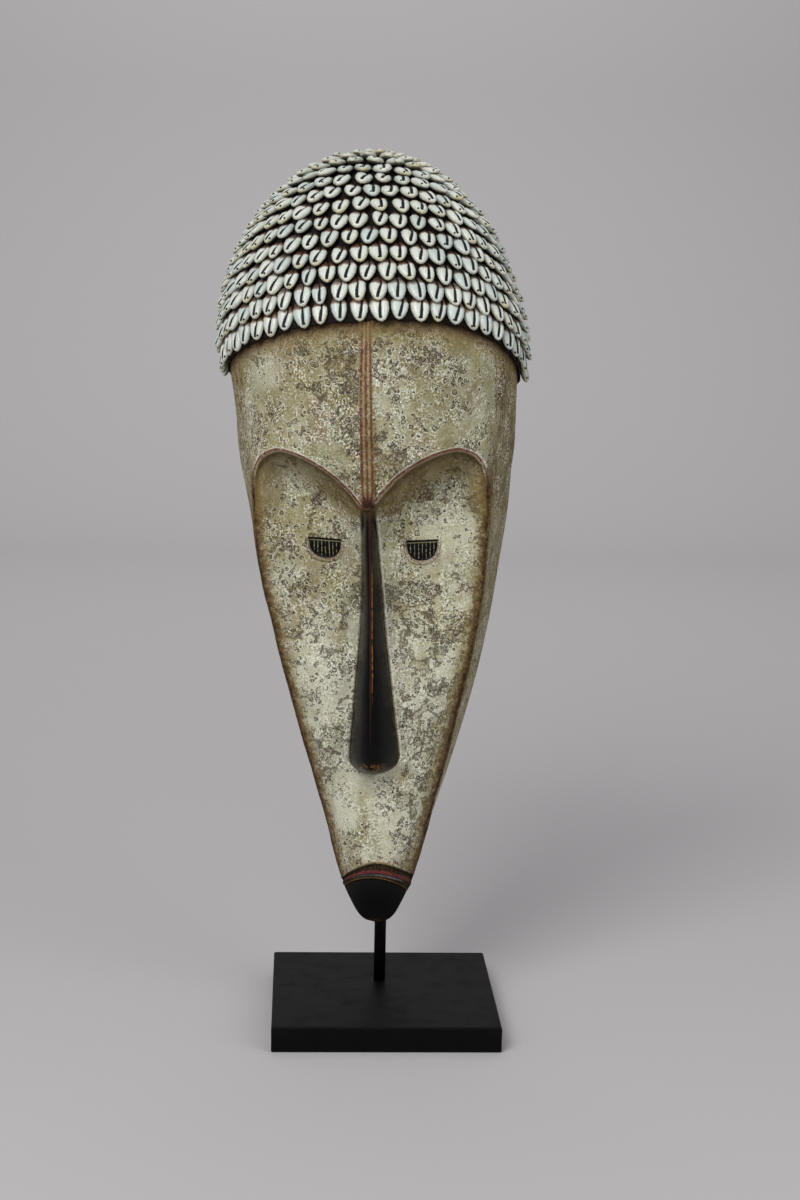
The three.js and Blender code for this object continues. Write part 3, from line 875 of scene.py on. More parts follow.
    def swayed(self, points: Array) -> Array:
        """The points moved sideways by the sway of the carving at their height.

        Args:
            points: place across, depth and height, of shape (..., 3).

        Returns:
            The moved points.
        """
        moved = points.copy()
        moved[..., 0] += through(self.sway, points[..., 2])
        return moved


@dataclass(frozen=True)
class Eye:
    """One eye: the lower half of a squarish ellipse with a flat top, sunk in a raised rim."""

    middle: float
    top: float
    half_width: float
    drop: float
    tilt: float
    power: float = 2.5

    def field(self, across: Array | Value, height: Array | Value) -> tuple[Array | Value, Array | Value]:
        """Where a point lies in the eye.

        Args:
            across: place across the face, with the carving's sway.
            height: height on the mask.

        Returns:
            The share of the way out from the middle of the top edge, 1 on the curve, and the height
            above the top edge.
        """
        off = across - self.middle
        above = height - self.top - off * self.tilt
        wide = abs(off) / self.half_width
        low = (abs(above) - above) * 0.5 / self.drop
        return (wide**self.power + low**self.power) ** (1 / self.power), above


EYES = (Eye(-37.3, 302.5, 12.8, 14.2, -0.06), Eye(38.3, 301.0, 11.8, 15.0, 0.04))


@dataclass(frozen=True)
class PaintedPoint:
    """What the mask's paint is worked out from at a point: places and distances in millimetres."""

    graph: Graph
    place: Socket
    across: Value
    depth: Value
    height: Value
    below_brow: Value
    from_rim: Value
    in_nose: Value
    above_chin: Value
    on_wall: Value
    erosion: Value

    @classmethod
    def read(cls, graph: Graph) -> PaintedPoint:
        """Reads the attributes that the mask's mesh holds at its points.

        Args:
            graph: the node tree that reads them.

        Returns:
            The point.
        """
        place = graph.attribute("place")
        lines = graph.parts(graph.attribute("lines"))
        grounds = graph.parts(graph.attribute("grounds"))
        return cls(graph, place, *graph.parts(place), *lines, *grounds)

    def noise(self, cell: float, detail: float = 2.0, rough: float = 0.5) -> Value:
        """Noise at the point, with blotches about a cell across."""
        return self.graph.noise(self.place, cell, detail, rough)


@dataclass(frozen=True)
class KaolinPaint:
    """Chalky cream paint over carved wood, flaked and stained, with the painted lines of the face."""

    cream: Colour = paint(194, 192, 167)
    ivory: Colour = paint(164, 158, 122)
    chalk: Colour = paint(222, 222, 206)
    ochre: Colour = paint(128, 111, 67)
    olive: Colour = paint(138, 135, 88)
    rose: Colour = paint(166, 145, 127)
    scab: Colour = paint(131, 121, 94)
    grey: Colour = paint(136, 137, 124)
    bone: Colour = paint(164, 146, 108)
    # Tint multiplied in as painted shade over the upper face.
    shade_tint: Colour = paint(206, 203, 190)
    slate: Colour = paint(136, 147, 162)
    brown: Colour = paint(92, 70, 42)
    umber: Colour = paint(50, 34, 19)
    red: Colour = paint(112, 54, 52)
    mauve: Colour = paint(124, 88, 80)
    black: Colour = paint(8, 7, 7)
    soot: Colour = paint(20, 19, 18)
    pitch: Colour = paint(30, 22, 16)
    worn: Colour = paint(150, 106, 50)
    ring_pitch: float = 5.2
    relief: float = 0.0008
    gloss: float = 0.11
    roughness: float = 0.74
    nose_sheen: float = 0.5
    chin_sheen: float = 0.04
    eye_sheen: float = 0.3

    def build(self, form: MaskForm) -> bpy.types.Material:
        """Makes the material from the places and distances that the mesh holds at its points.

        Args:
            form: the mask's form, whose lines are painted.

        Returns:
            The material.
        """
        graph = Graph("kaolin_paint")
        at = PaintedPoint.read(graph)
        colour, pitting = self._ground(at)
        colour = self._wear(at, colour, form)
        colour = self._stripes(at, colour, form)
        colour = self._brow(at, colour)
        colour = self._mouth(at, colour, form)
        colour, nose = self._nose(at, colour)
        colour, eyes = self._eyes(at, colour)
        chin = at.above_chin.falls(-0.5, 0.0) * at.height.falls(*form.mouth_fades)
        sheen = nose * self.nose_sheen
        roughness = self.roughness - sheen - chin * self.chin_sheen - eyes * self.eye_sheen
        quiet = 1 - (nose + chin + eyes).least(1) * 0.92
        return graph.finish(colour, roughness, (1 - pitting) * quiet, self.relief, gloss=self.gloss)

    def _stains(self, at: PaintedPoint) -> Socket:
        """Stained cream paint, streaked on the walls, with painted shade beside the nose and over the upper
        face.

        Args:
            at: the point.

        Returns:
            The colour.
        """
        graph = at.graph
        walled = at.on_wall.rises(0.0, 0.06)
        long = graph.scaled(at.place, (1.0, 1.0, 0.6))
        colour = graph.mix(at.noise(44.0, 3.0).rises(0.38, 0.6), self.ivory, self.cream)
        colour = graph.mix(at.height.falls(90.0, 330.0) * 0.3, colour, self.chalk)
        colour = graph.mix(graph.noise(long, 33.0, 4.0, 0.6).rises(0.48, 0.64) * 0.62, colour, self.ochre)
        colour = graph.mix(graph.noise(long, 19.0, 3.0, 0.6).rises(0.52, 0.66) * 0.55, colour, self.olive)
        colour = graph.mix(at.noise(27.0).rises(0.56, 0.7) * 0.3, colour, self.rose)
        # Painted shade: grey beside the nose on both sides, where the nose shades the face.
        beside = at.in_nose.rises(-24.0, -2.0) * at.height.falls(330.0, 340.0)
        colour = graph.mix(beside * at.noise(14.0, 3.0).rises(0.3, 0.6) * 0.5, colour, self.grey)
        colour = graph.mix(walled * 0.5, colour, self.ochre)
        streaks = graph.noise(graph.scaled(at.place, (1.0, 1.0, 0.11)), 1.5, 3.0, 0.6)
        colour = graph.mix(walled * streaks.rises(0.5, 0.58) * 0.8, colour, self.brown)
        colour = graph.mix(walled * streaks.falls(0.38, 0.46) * 0.5, colour, self.cream)
        # Painted shade: the face multiplied darker from mid height up and under the brow, most on the
        # right, away from the key light.
        right = at.across.rises(-64.0, -12.0) * 0.85 + 0.15
        shaded = (at.height.rises(170.0, 280.0) * 0.35).most(at.height.rises(300.0, 345.0) * right)
        uneven = at.noise(34.0, 3.0).rises(0.35, 0.6) * 0.5 + 0.6
        return graph.mix((shaded * uneven).least(1.0), colour, self.shade_tint, "MULTIPLY")

    def _ground(self, at: PaintedPoint) -> tuple[Socket, Value]:
        """The stained paint with its flakes, scabs, rings and pits.

        A scab is where a ragged noise, raised in clusters, passes a limit. A ring lies at its own
        distance from the middle of an uneven cell. A dark line runs along the edge of both, and the
        paint just outside it is paler.

        Args:
            at: the point.

        Returns:
            The colour and how deep the paint is pitted, from 0 to 1.
        """
        graph = at.graph
        walled = at.on_wall.rises(0.0, 0.06)
        colour = self._stains(at)
        flaky = at.noise(15.0).rises(0.42, 0.6)
        flake = at.noise(1.5, 2.0, 0.6)
        colour = graph.mix(flake.falls(0.38, 0.46) * (flaky * 0.5 + 0.1), colour, self.brown)
        colour = graph.mix(flake.rises(0.54, 0.61) * (flaky * 0.7 + 0.12), colour, self.chalk)
        cluster = at.noise(24.0) - 0.5
        lower = at.height.falls(250.0, 400.0) * 0.02
        scab = at.noise(6.5, 5.0, 0.62) + cluster * 0.35 + lower - walled * 0.07 - 0.625
        ragged = at.noise(3.6, 4.0, 0.65)
        patch = at.erosion * 0.05 + (ragged - 0.5) * 0.25 - walled * 0.06
        cells = {"Vector": graph.shifted(at.place, 2.4, 3.2), "Scale": 1 / self.ring_pitch}
        cell = graph.node("ShaderNodeTexVoronoi", {}, cells)
        wide, chance, _ = graph.parts(cell.outputs["Color"])
        ring = wide * 0.36 + 0.1 - Value(graph, cell.outputs["Distance"])
        ringed = (chance + cluster * 4.0 + lower * 4 - walled * 0.2).rises(0.58, 0.66)
        inside = scab.rises(0.0, 0.012).most(patch.rises(0.0, 0.012) * 0.8)
        inside = inside.most(ring.rises(0.0, 0.06) * ringed * 0.45)
        edge = scab.line(0.008, 0.013).most(patch.line(0.006, 0.012) * 0.8)
        edge = edge.most(ring.line(0.03, 0.05) * ringed * 0.9)
        halo = (scab + 0.034).line(0.011, 0.014).most((ring + 0.15).line(0.04, 0.06) * ringed)
        pit = (at.noise(2.1, 1.0) + cluster * 0.3).rises(0.69, 0.72)
        mottled = graph.mix(flake.rises(0.42, 0.54), self.brown, self.scab)
        colour = graph.mix(inside * (at.height.rises(260.0, 340.0) * 0.28 + 0.46), colour, mottled)
        colour = graph.mix(halo * (1 - walled) * 0.45, colour, self.chalk)
        dark = (edge * 0.86).most(pit * 0.8) * (1 - walled * 0.45)
        colour = graph.mix(dark, colour, self.umber)
        pitting = (inside * 0.4).most(dark * 0.85) + flake.falls(0.36, 0.56) * 0.25
        return colour, pitting

    def _wear(self, at: PaintedPoint, colour: Socket, form: MaskForm) -> Socket:
        """Worn wood and painted shade along the rim, and grime and painted shadow under the cap's edge.

        Args:
            at: the point.
            colour: the colour so far.
            form: the mask's form, which knows the cap's edge.

        Returns:
            The colour.
        """
        graph = at.graph
        ragged = at.noise(4.0, 5.0, 0.7) - 0.5
        near = abs(at.from_rim) + ragged * 16
        low = at.height.falls(335.0, 372.0)
        # Worn wood along the rim; the umber on the rim's very edge is also painted shade.
        colour = graph.mix(near.falls(4.0, 14.0) * low * 0.66, colour, self.ochre)
        colour = graph.mix(near.falls(2.4, 7.8) * low * 0.88, colour, self.brown)
        colour = graph.mix(near.falls(-0.2, 3.0) * low * 0.85, colour, self.umber)
        # Grime and the cap's painted shadow: darker towards the cap's edge.
        under_cap = ragged * 7 - form.above_cap_edge(at.across, at.depth, at.height)
        colour = graph.mix(under_cap.falls(2.0, 20.0) * 0.55, colour, self.ochre)
        colour = graph.mix(under_cap.falls(0.0, 8.0) * 0.6, colour, self.brown)
        return graph.mix(under_cap.falls(-4.5, 2.5) * 0.95, colour, self.umber)

    def _stripes(self, at: PaintedPoint, colour: Socket, form: MaskForm) -> Socket:
        """Three dull red grooves down the forehead, which fade under the cap and meet above the nose.

        Args:
            at: the point.
            colour: the colour so far.
            form: the mask's form, which knows the cap's edge.

        Returns:
            The colour.
        """
        graph = at.graph
        spacing = at.height.rises(*form.stripes_part) * form.stripe_spacing
        spacing = spacing - at.height.rises(*form.stripes_close) * form.stripe_closing
        middle = at.height.rises(*form.stripes_shift) * form.stripe_shift
        wobble = (at.noise(5.0) - 0.5) * 1.2
        off = abs(at.across - middle + wobble)
        nearest = off.least(abs(off - spacing))
        band = off.falls(4.8, 5.6) * at.below_brow.falls(-0.5, 1.5) * at.on_wall.falls(0.0, 0.01)
        clear = form.above_cap_edge(at.across, at.depth, at.height).falls(-20.0, -5.0)
        worn = at.noise(2.0, 3.0).rises(0.26, 0.52) * (clear * 0.6 + 0.4)
        colour = graph.mix(band * 0.55, colour, self.ochre)
        gap = abs(off - spacing * 0.5).falls(0.2, 0.8)
        colour = graph.mix(band * gap * 0.25, colour, self.bone)
        colour = graph.mix(band * nearest.falls(0.6, 1.3) * worn * 0.8, colour, self.red)
        colour = graph.mix(band * nearest.falls(0.1, 0.5) * worn * 0.45, colour, self.umber)
        root = off.falls(3.4, 6.6) * at.height.falls(331.0, 342.0) * at.height.rises(318.0, 324.0)
        colour = graph.mix(root * 0.75, colour, self.red)
        colour = graph.mix(root * at.height.falls(330.0, 342.0) * 0.96, colour, self.umber)
        return graph.mix(root * nearest.falls(0.3, 1.4) * 0.8, colour, self.umber)

    def _brow(self, at: PaintedPoint, colour: Socket) -> Socket:
        """The brow's red line, its pale lip and the brown shade under it, which fade out at the ends.

        Args:
            at: the point.
            colour: the colour so far.

        Returns:
            The colour.
        """
        graph, below = at.graph, at.below_brow
        front = at.on_wall.falls(0.0, 0.02) * at.height.rises(318.0, 324.0)
        apart = abs(at.across).rises(4.0, 10.0)
        bold = (at.height + abs(at.across).falls(40.0, 60.0) * 60.0).rises(346.0, 366.0)
        worn = at.noise(4.0, 3.0).rises(0.25, 0.5)
        uneven = at.noise(3.0, 4.0, 0.65).rises(0.3, 0.62) * 0.5 + 0.5
        # Painted shade: the ochre cove under the brow and the brown band just under its lip.
        shade = below.rises(1.2, 2.6) * below.falls(7.0, 27.0) * uneven
        colour = graph.mix(shade * front * 0.72, colour, self.ochre)
        under = below.rises(0.9, 1.9) * below.falls(3.0, 8.0) * uneven
        colour = graph.mix(under * front * (bold * 0.3 + 0.5), colour, self.brown)
        lip = below.rises(0.2, 0.6) * below.falls(0.8, 1.6)
        colour = graph.mix(lip * front * apart * bold * (worn * 0.5 + 0.3), colour, self.bone)
        outer = (below + 1.4).line(0.35, 0.4)
        colour = graph.mix(outer * front * apart * bold * worn * 0.4, colour, self.chalk)
        line = (below + 0.25).line(0.4, 0.5) * abs(at.across).rises(2.5, 5.0)
        return graph.mix(line * front * worn * (bold * 0.3 + 0.6), colour, self.red)

    def _mouth(self, at: PaintedPoint, colour: Socket, form: MaskForm) -> Socket:
        """The arch and its pale line, partly a painted highlight, the dark groove, the lips and the black
        chin.

        The lips' lines lie at shares of the way from the chin's edge to the arch.

        Args:
            at: the point.
            colour: the colour so far.
            form: the mask's form, which knows the arch.

        Returns:
            The colour.
        """
        graph, above, across = at.graph, at.above_chin, at.across
        low = at.height.falls(*form.mouth_fades)
        under_arch = form.mouth_arch(across) - at.height
        share = above / (above + under_arch).most(2.0)
        inside = under_arch.rises(-0.3, 0.4) * above.rises(0.0, 0.4) * low
        ragged = at.noise(2.4, 3.0).rises(0.35, 0.6)
        fleck = at.noise(1.4, 3.0, 0.65).rises(0.32, 0.62)
        grime = under_arch.rises(-11.0, -0.5) * low * abs(across).rises(5.0, 22.0)
        colour = graph.mix(grime * ragged * 0.85, colour, self.brown)
        colour = graph.mix(inside, colour, self.pitch)
        colour = graph.mix(inside * fleck * ragged * 0.4, colour, self.brown)
        # A pale line on the arch's bead, partly a painted highlight on its edge.
        arch = (under_arch - 0.4).line(0.9, 0.6) * low * abs(across).falls(12.0, 24.0)
        colour = graph.mix(arch * (ragged * 0.5 + 0.4), colour, self.bone)
        bend = (across / 25.0) * (across / 25.0) * 0.12
        red = (share - 0.4 - bend).line(0.07, 0.06) * inside * abs(across).falls(24.0, 27.0)
        colour = graph.mix(red * (fleck * 0.45 + 0.4), colour, self.red)
        white = (share - 0.2 - bend).line(0.02, 0.04) * inside * abs(across).falls(17.0, 24.0)
        white = white * (across.rises(-8.0, 10.0) * 0.4 + 0.3) * (fleck * 0.6 + 0.4)
        colour = graph.mix(white, colour, self.slate)
        colour = graph.mix(above.falls(-0.3, 0.1) * low, colour, self.soot)
        edge = (above - 0.2).line(0.35, 0.5) * low * (fleck * 0.75 + 0.25)
        colour = graph.mix(edge * 0.85, colour, self.worn)
        return graph.mix(at.height.falls(-9.5, -5.0) * ragged * 0.5, colour, self.brown)

    def _nose(self, at: PaintedPoint, colour: Socket) -> tuple[Socket, Value]:
        """The black nose with its worn ridge and painted highlights along its right side, partly wear.

        Args:
            at: the point.
            colour: the colour so far.

        Returns:
            The colour and where the nose is, from 0 to 1.
        """
        graph, across, height, inset = at.graph, at.across, at.height, at.in_nose
        nose = inset.rises(-0.3, 0.4) * height.falls(322.0, 328.0)
        right = across.rises(0.0, 2.0)
        # Painted highlight: a pale line on the face along the nose's right side.
        light = (inset + 1.5).line(0.5, 0.7) * right * height.falls(318.0, 326.0)
        colour = graph.mix(light * 0.4, colour, self.chalk)
        colour = graph.mix((inset + 0.4).line(0.4, 0.5) * 0.6, colour, self.brown)
        colour = graph.mix(nose, colour, self.black)
        upright = graph.scaled(at.place, (0.0, 0.0, 1.0))
        wander = (graph.noise(upright, 14.0) - 0.5) * 2.4
        ridge = (across - 0.3 + wander).line(0.2, 0.5) * height.rises(135.0, 200.0)
        colour = graph.mix(nose * ridge * 0.3, colour, self.red)
        broken = graph.noise(upright, 6.0, 4.0, 0.7).rises(0.36, 0.56)
        thin = (across - 1.7 + wander * 0.6).line(0.2, 0.3)
        thin = thin * height.rises(172.0, 205.0) * height.falls(268.0, 290.0)
        colour = graph.mix(nose * thin * broken * 0.9, colour, self.worn)
        # A broken worn line along the nose's right edge, partly a painted highlight.
        side = (inset - 0.9).line(0.12, 0.3) * right * broken * height.falls(290.0, 310.0)
        colour = graph.mix(side * 0.3, colour, self.worn)
        rubbed = at.noise(2.2, 3.0).rises(0.45, 0.62)
        tip = height.rises(121.0, 124.0) * height.falls(127.0, 132.0) * abs(across).falls(7.0, 13.0)
        colour = graph.mix(nose * tip * rubbed * 0.45, colour, self.worn)
        root = height.rises(316.0, 325.0) * abs(across).falls(5.0, 7.0)
        return graph.mix(nose * root * 0.5, colour, self.brown), nose

    def _eyes(self, at: PaintedPoint, colour: Socket) -> tuple[Socket, Value]:
        """Black inlaid eyes with uneven ivory strokes, each under a black band painted as the lid's shadow.

        Args:
            at: the point.
            colour: the colour so far.

        Returns:
            The colour and where the eyes are, from 0 to 1.
        """
        graph = at.graph
        covered: Value | float = 0.0
        rubbed = at.noise(1.7)
        wander = (at.noise(5.0) - 0.5) * 1.2
        for eye in EYES:
            off = at.across - eye.middle
            share, above = eye.field(at.across, at.height)
            inside = share.falls(0.98, 1.02) * above.falls(-0.2, 0.2)
            brim = share.rises(1.0, 1.04) * share.falls(1.06, 1.15) * above.falls(0.0, 1.0)
            outline = (share - 1.2).line(0.015, 0.05) * above.falls(-1.0, 1.0)
            # Painted shadow: a black band just above the eye's top edge, under the lid.
            lid = above.rises(-0.4, 0.2) * above.falls(0.9, 1.8)
            lid = lid * abs(off).falls(eye.half_width, eye.half_width + 1.5)
            colour = graph.mix(outline * 0.6, colour, self.brown)
            colour = graph.mix(brim * (rubbed.rises(0.3, 0.6) * 0.5 + 0.35), colour, self.mauve)
            colour = graph.mix((inside + lid).least(1.0), colour, self.black)
            pitch = (off + wander) / 3.0 + 0.5
            stroke = (pitch.math("FRACT") - 0.5).line(0.05, 0.1) * share.falls(0.8, 0.97)
            top = (above + 0.7).line(0.2, 0.35) * abs(off).falls(eye.half_width - 1.0, eye.half_width)
            pale = (stroke * rubbed.rises(0.36, 0.6)).most(top * 0.75)
            colour = graph.mix(inside * pale * 0.72, colour, self.ivory)
            covered = inside + covered
        return colour, covered


@dataclass(frozen=True)
class HollowWood:
    """Bare dark wood of the hollow and the back edge, with the marks of the gouge."""

    light: Colour = paint(104, 76, 48)
    dark: Colour = paint(58, 40, 26)

    def build(self) -> bpy.types.Material:
        """Makes the material: grain stretched along the height.

        Returns:
            The material.
        """
        graph = Graph("hollow_wood")
        place = graph.attribute("place")
        grain = graph.noise(graph.scaled(place, (1.0, 1.0, 0.06)), 2.0, 4.0, 0.6)
        broad = graph.noise(place, 30.0, 3.0)
        colour = graph.mix((grain * 0.6 + broad * 0.6 - 0.1).rises(0.3, 0.7), self.dark, self.light)
        return graph.finish(colour, 0.8, grain, 0.0004, gloss=0.3)


@dataclass
class CarvedMask:
    """The carved block: front, side walls and hollow as one closed mesh."""

    form: MaskForm
    frame: MaskFrame
    fine_step: float = 0.75
    coarse_step: float = 1.7
    nose_columns: int = 14
    face_columns: int = 62
    wall_columns: int = 20
    hollow_columns: int = 30
    close_rows: Stations = ((352.0, 9.0), (294.0, 15.0), (125.0, 13.0), (37.0, 14.0))
    patch_share: float = 0.08
    level_step: float = 0.05
    close_fade: float = 8.0
    face_spread: float = 0.85
    edge_round: float = 2.6
    edge_worn: float = 0.9
    gouge_cell: float = 15.0
    gouge_depth: float = 2.4

    def levels(self) -> Array:
        """Heights of the rows: closer together at the brow, the eyes, the nose's end and the mouth.

        Returns:
            The heights, from the chin to the middle of the dome.
        """
        form = self.form
        places = np.arange(form.chin_tip, form.dome_centre[1], self.level_step)
        closeness = np.zeros(len(places))
        for middle, reach in self.close_rows:
            fade = smoothstep(np.abs(places - middle), reach, reach + self.close_fade)
            closeness = np.maximum(closeness, 1 - fade)
        density = 1 / lerp(self.coarse_step, self.fine_step, closeness)
        count = np.concatenate([[0], np.cumsum(density[:-1] * self.level_step)])
        return np.interp(np.linspace(0, count[-1], int(count[-1])), count, places)

    def dome_climbs(self) -> Array:
        """How far up the dome its rows stand, from just over 0 to 1 at its top."""
        return np.concatenate([np.arange(0.012, 0.2, 0.009), np.linspace(0.2, 1, 18)])

    def front_half(self, levels: Array, side: int) -> tuple[Array, Array]:
        """One half of the front and its side wall, for each level.

        Args:
            levels: the levels of the rows.
            side: 1 for the half at positive places across, -1 for the other.

        Returns:
            Points of shape (rows, columns, 3) as place across, depth and height, and for each point
            its share of the side wall, 0 on the front.
        """
        form = self.form
        level = levels[:, None]
        rim = through(form.rim_half_width, level)
        nose = through(form.nose_half_width, np.maximum(level, form.nose_bottom))
        inner = np.minimum(nose, rim * 0.5)
        middle = np.linspace(0, 1, self.nose_columns, endpoint=False) * inner
        spread = np.linspace(0, 1, self.face_columns) ** self.face_spread
        level_x = np.concatenate([middle, lerp(inner, rim, spread)], axis=1)
        height = form.row_height(level, side * level_x)
        widened = through(form.rim_half_width, height) / np.maximum(rim, 1e-6)
        across = np.where(rim > 0, level_x * widened, 0)
        depth = form.front_depth(side * across, height)
        share = np.linspace(0, 1, self.wall_columns + 1)[1:]
        wall_x, wall_depth = form.wall_point(across[:, -1:], depth[:, -1:], height[:, -1:], share)
        wall_height = np.broadcast_to(height[:, -1:], wall_x.shape)
        front = np.stack([side * across, depth, height], axis=-1)
        wall = np.stack([side * wall_x, wall_depth, wall_height], axis=-1)
        points = np.concatenate([front, wall], axis=1)
        on_wall = np.concatenate([np.zeros(across.shape[1]), share])
        return points, np.broadcast_to(on_wall, points.shape[:2])

    def outside(self) -> tuple[Array, Array]:
        """The whole outside, from the chin over the front and the dome to its top, before the relief.

        Returns:
            Points of shape (rows, columns, 3) as place across, depth and height, and for each point
            its share of the side wall.
        """
        form = self.form
        levels = self.levels()
        right, wall = self.front_half(levels, 1)
        left, _ = self.front_half(levels, -1)
        rows = np.concatenate([left[:, :0:-1], right], axis=1)
        on_wall = np.concatenate([wall[:, :0:-1], wall], axis=1)
        radii = np.array(form.dome_radii)
        back_angle = math.acos(-form.dome_centre[0] / radii[1])
        last = rows[-1]
        angle = np.arctan2(last[:, 0] / radii[0], (last[:, 1] - form.dome_centre[0]) / radii[1])
        shares = np.clip(angle / back_angle, -1, 1)
        dome = form.dome_rows(radii, shares, self.dome_climbs())
        dome_wall = np.broadcast_to(on_wall[-1], dome.shape[:2])
        return np.concatenate([rows, dome]), np.concatenate([on_wall, dome_wall])

    def relief(self, points: Array, on_wall: Array) -> tuple[Array, Array]:
        """How far each point stands out of the plain form, and the field of the eroded patches.

        The eyes are sunk in raised rims, the mouth has a groove between an arch and the lips, the brow
        has a bead, the stripes are grooves, the patches are shallow and the tool left low waves. Under
        the cap the wood is smooth.

        Args:
            points: place across, depth and height.
            on_wall: share of the side wall.

        Returns:
            The height of the relief in millimetres, and the field, above 0 inside the patches.
        """
        form = self.form
        across, depth, height = np.moveaxis(points, -1, 0)
        placed = across + through(form.sway, height)
        local = np.stack([placed, depth, height], axis=-1)
        front = (on_wall <= 0) * (height < form.dome_centre[1])
        above_chin = height - form.chin_edge(across, height)
        nose = smoothstep(form.nose_inset(across, height), -1.5, 0.5)
        chin = (1 - smoothstep(above_chin, -0.5, 0.5)) * (height < form.mouth_fades[0])
        bare = 1 - smoothstep(form.above_cap_edge(placed, depth, height), 0, 4)
        plain = np.clip(1 - nose - chin, 0, 1) * bare
        patches = lattice_noise(local, 12.0, 11) + 0.7 * lattice_noise(local, 5.0, 12)
        patches += 0.9 * lattice_noise(local, 44.0, 15)
        limit = np.quantile(patches[height < form.dome_centre[1]], 1 - self.patch_share)
        erosion = (patches - limit) / patches.std()
        waves = 0.9 * (lattice_noise(local * np.array([1, 1, 0.55]), 13.0, 13) - 0.5)
        grain = 0.35 * (lattice_noise(local, 3.4, 14) - 0.5)
        out = (waves + grain - 0.45 * smoothstep(erosion, -0.2, 0.3)) * plain
        out += front * (self.eye_relief(placed, height) + self.mouth_relief(placed, height, above_chin))
        return out + front * bare * self.brow_relief(across, placed, height), erosion

    @staticmethod
    def eye_relief(placed: Array, height: Array) -> Array:
        """Height of the eyes: sunk by a step, inside a raised brim, under a low lid.

        Args:
            placed: place across, with the carving's sway.
            height: height on the mask.

        Returns:
            The height of the relief in millimetres.
        """
        out = np.zeros(placed.shape)
        for eye in EYES:
            share, above = eye.field(placed, height)
            inside = (1 - smoothstep(share, 0.92, 1.02)) * (above < 0.3)
            brim = smoothstep(share, 0.94, 1.06) * (1 - smoothstep(share, 1.1, 1.3)) * (above < 1.2)
            lid = smoothstep(above, -0.2, 1.2) * (1 - smoothstep(above, 1.5, 7.0)) * (share < 1.1)
            out += -1.0 * inside + 0.8 * brim + 0.8 * lid
        return out

    def mouth_relief(self, placed: Array, height: Array, above_chin: Array) -> Array:
        """Height of the mouth: a bead on the arch, a groove under it and the rounded lips.

        Args:
            placed: place across, with the carving's sway.
            height: height on the mask.
            above_chin: height above the chin's edge.

        Returns:
            The height of the relief in millimetres, a sum of bell curves.
        """
        under_arch = self.form.mouth_arch(placed) - height
        share = above_chin / np.maximum(above_chin + under_arch, 2)
        inside = (height < 70) * smoothstep(above_chin, 0, 1)
        bead = np.exp(-((under_arch / 1.2) ** 2))
        groove = np.exp(-(((share - 0.74) / 0.16) ** 2))
        lips = np.exp(-(((share - 0.34) / 0.18) ** 2))
        return inside * (0.5 * bead - 1.7 * groove * (under_arch > 0) + 0.7 * lips)

    def brow_relief(self, across: Array, placed: Array, height: Array) -> Array:
        """Height of the brow's bead between two fine grooves, and of the three grooves over the nose.

        Args:
            across: place across.
            placed: place across, with the carving's sway.
            height: height on the mask.

        Returns:
            The height of the relief in millimetres, a sum of bell curves.
        """
        form = self.form
        below = form.below_brow(across, height)
        bold = smoothstep(height + 60 * (1 - smoothstep(np.abs(across), 40, 60)), 340, 366)
        bead = 0.7 * np.exp(-(((below - 1.2) / 1.1) ** 2)) - 0.45 * np.exp(-(((below + 0.4) / 0.6) ** 2))
        spacing = form.stripe_spacing * smoothstep(height, *form.stripes_part)
        spacing = spacing - form.stripe_closing * smoothstep(height, *form.stripes_close)
        off = np.abs(placed - form.stripe_shift * smoothstep(height, *form.stripes_shift))
        nearest = np.minimum(off, np.abs(off - spacing))
        lines = -0.5 * smoothstep(-below, -1, 1) * np.exp(-((nearest / 0.9) ** 2))
        return bead * bold + lines * (height > 318)

    def front_surface(self) -> tuple[Array, dict[str, Array]]:
        """The outside with its relief, its worn edges rounded, and the attributes that its paint reads.

        Returns:
            Points of shape (rows, columns, 3) as place across, depth and height, and the attributes.
        """
        form = self.form
        points, on_wall = self.outside()
        out, erosion = self.relief(points, on_wall)
        across, depth, height = np.moveaxis(points, -1, 0)
        rim_at = through(form.rim_half_width, height)
        wall_depth = depth - through(form.rim_depth, height)
        from_rim = np.where(on_wall > 0, wall_depth, rim_at - np.abs(across))
        rounding = 1 - smoothstep(np.abs(from_rim), 0, self.edge_round)
        out -= self.edge_worn * rounding * (height < form.dome_starts) * smoothstep(height, -6, 10)
        raised = points + self.normals(points) * (out * smoothstep(depth, 0, 3.0))[..., None]
        raised[..., 1] = np.where(depth <= 0, 0, np.maximum(raised[..., 1], 0))
        placed = form.swayed(raised)
        above_chin = height - form.chin_edge(across, height)
        lines = [form.below_brow(across, height), from_rim, form.nose_inset(across, height)]
        notes = {"lines": np.stack(lines, -1), "grounds": np.stack([above_chin, on_wall, erosion], -1)}
        return placed, {"place": placed.copy(), **notes}

    def hollow_surface(self) -> Array:
        """The hollow with the low waves of the gouge, as place across, depth and height.

        Returns:
            Points of shape (rows, columns, 3).
        """
        form = self.form
        shares = np.linspace(-1, 1, self.hollow_columns + 1)
        radii = np.array(form.dome_radii) - form.wall
        dome = form.dome_rows(radii, shares, self.dome_climbs())
        inside = np.concatenate([form.hollow_rows(self.levels(), shares), dome])
        gouged = lattice_noise(inside * np.array([1, 1, 0.4]), self.gouge_cell, 21) - 0.5
        cupped = 1 - np.abs(shares) ** 8
        inside[..., 1] += gouged * self.gouge_depth * cupped * smoothstep(inside[..., 1], 0, 12)
        return form.swayed(inside)

    @staticmethod
    def normals(points: Array) -> Array:
        """Directions out of a grid of points: against the cross product of its two sets of lines."""
        cross = np.cross(np.gradient(points, axis=1), np.gradient(points, axis=0))
        return -cross / np.maximum(np.linalg.norm(cross, axis=-1, keepdims=True), 1e-9)

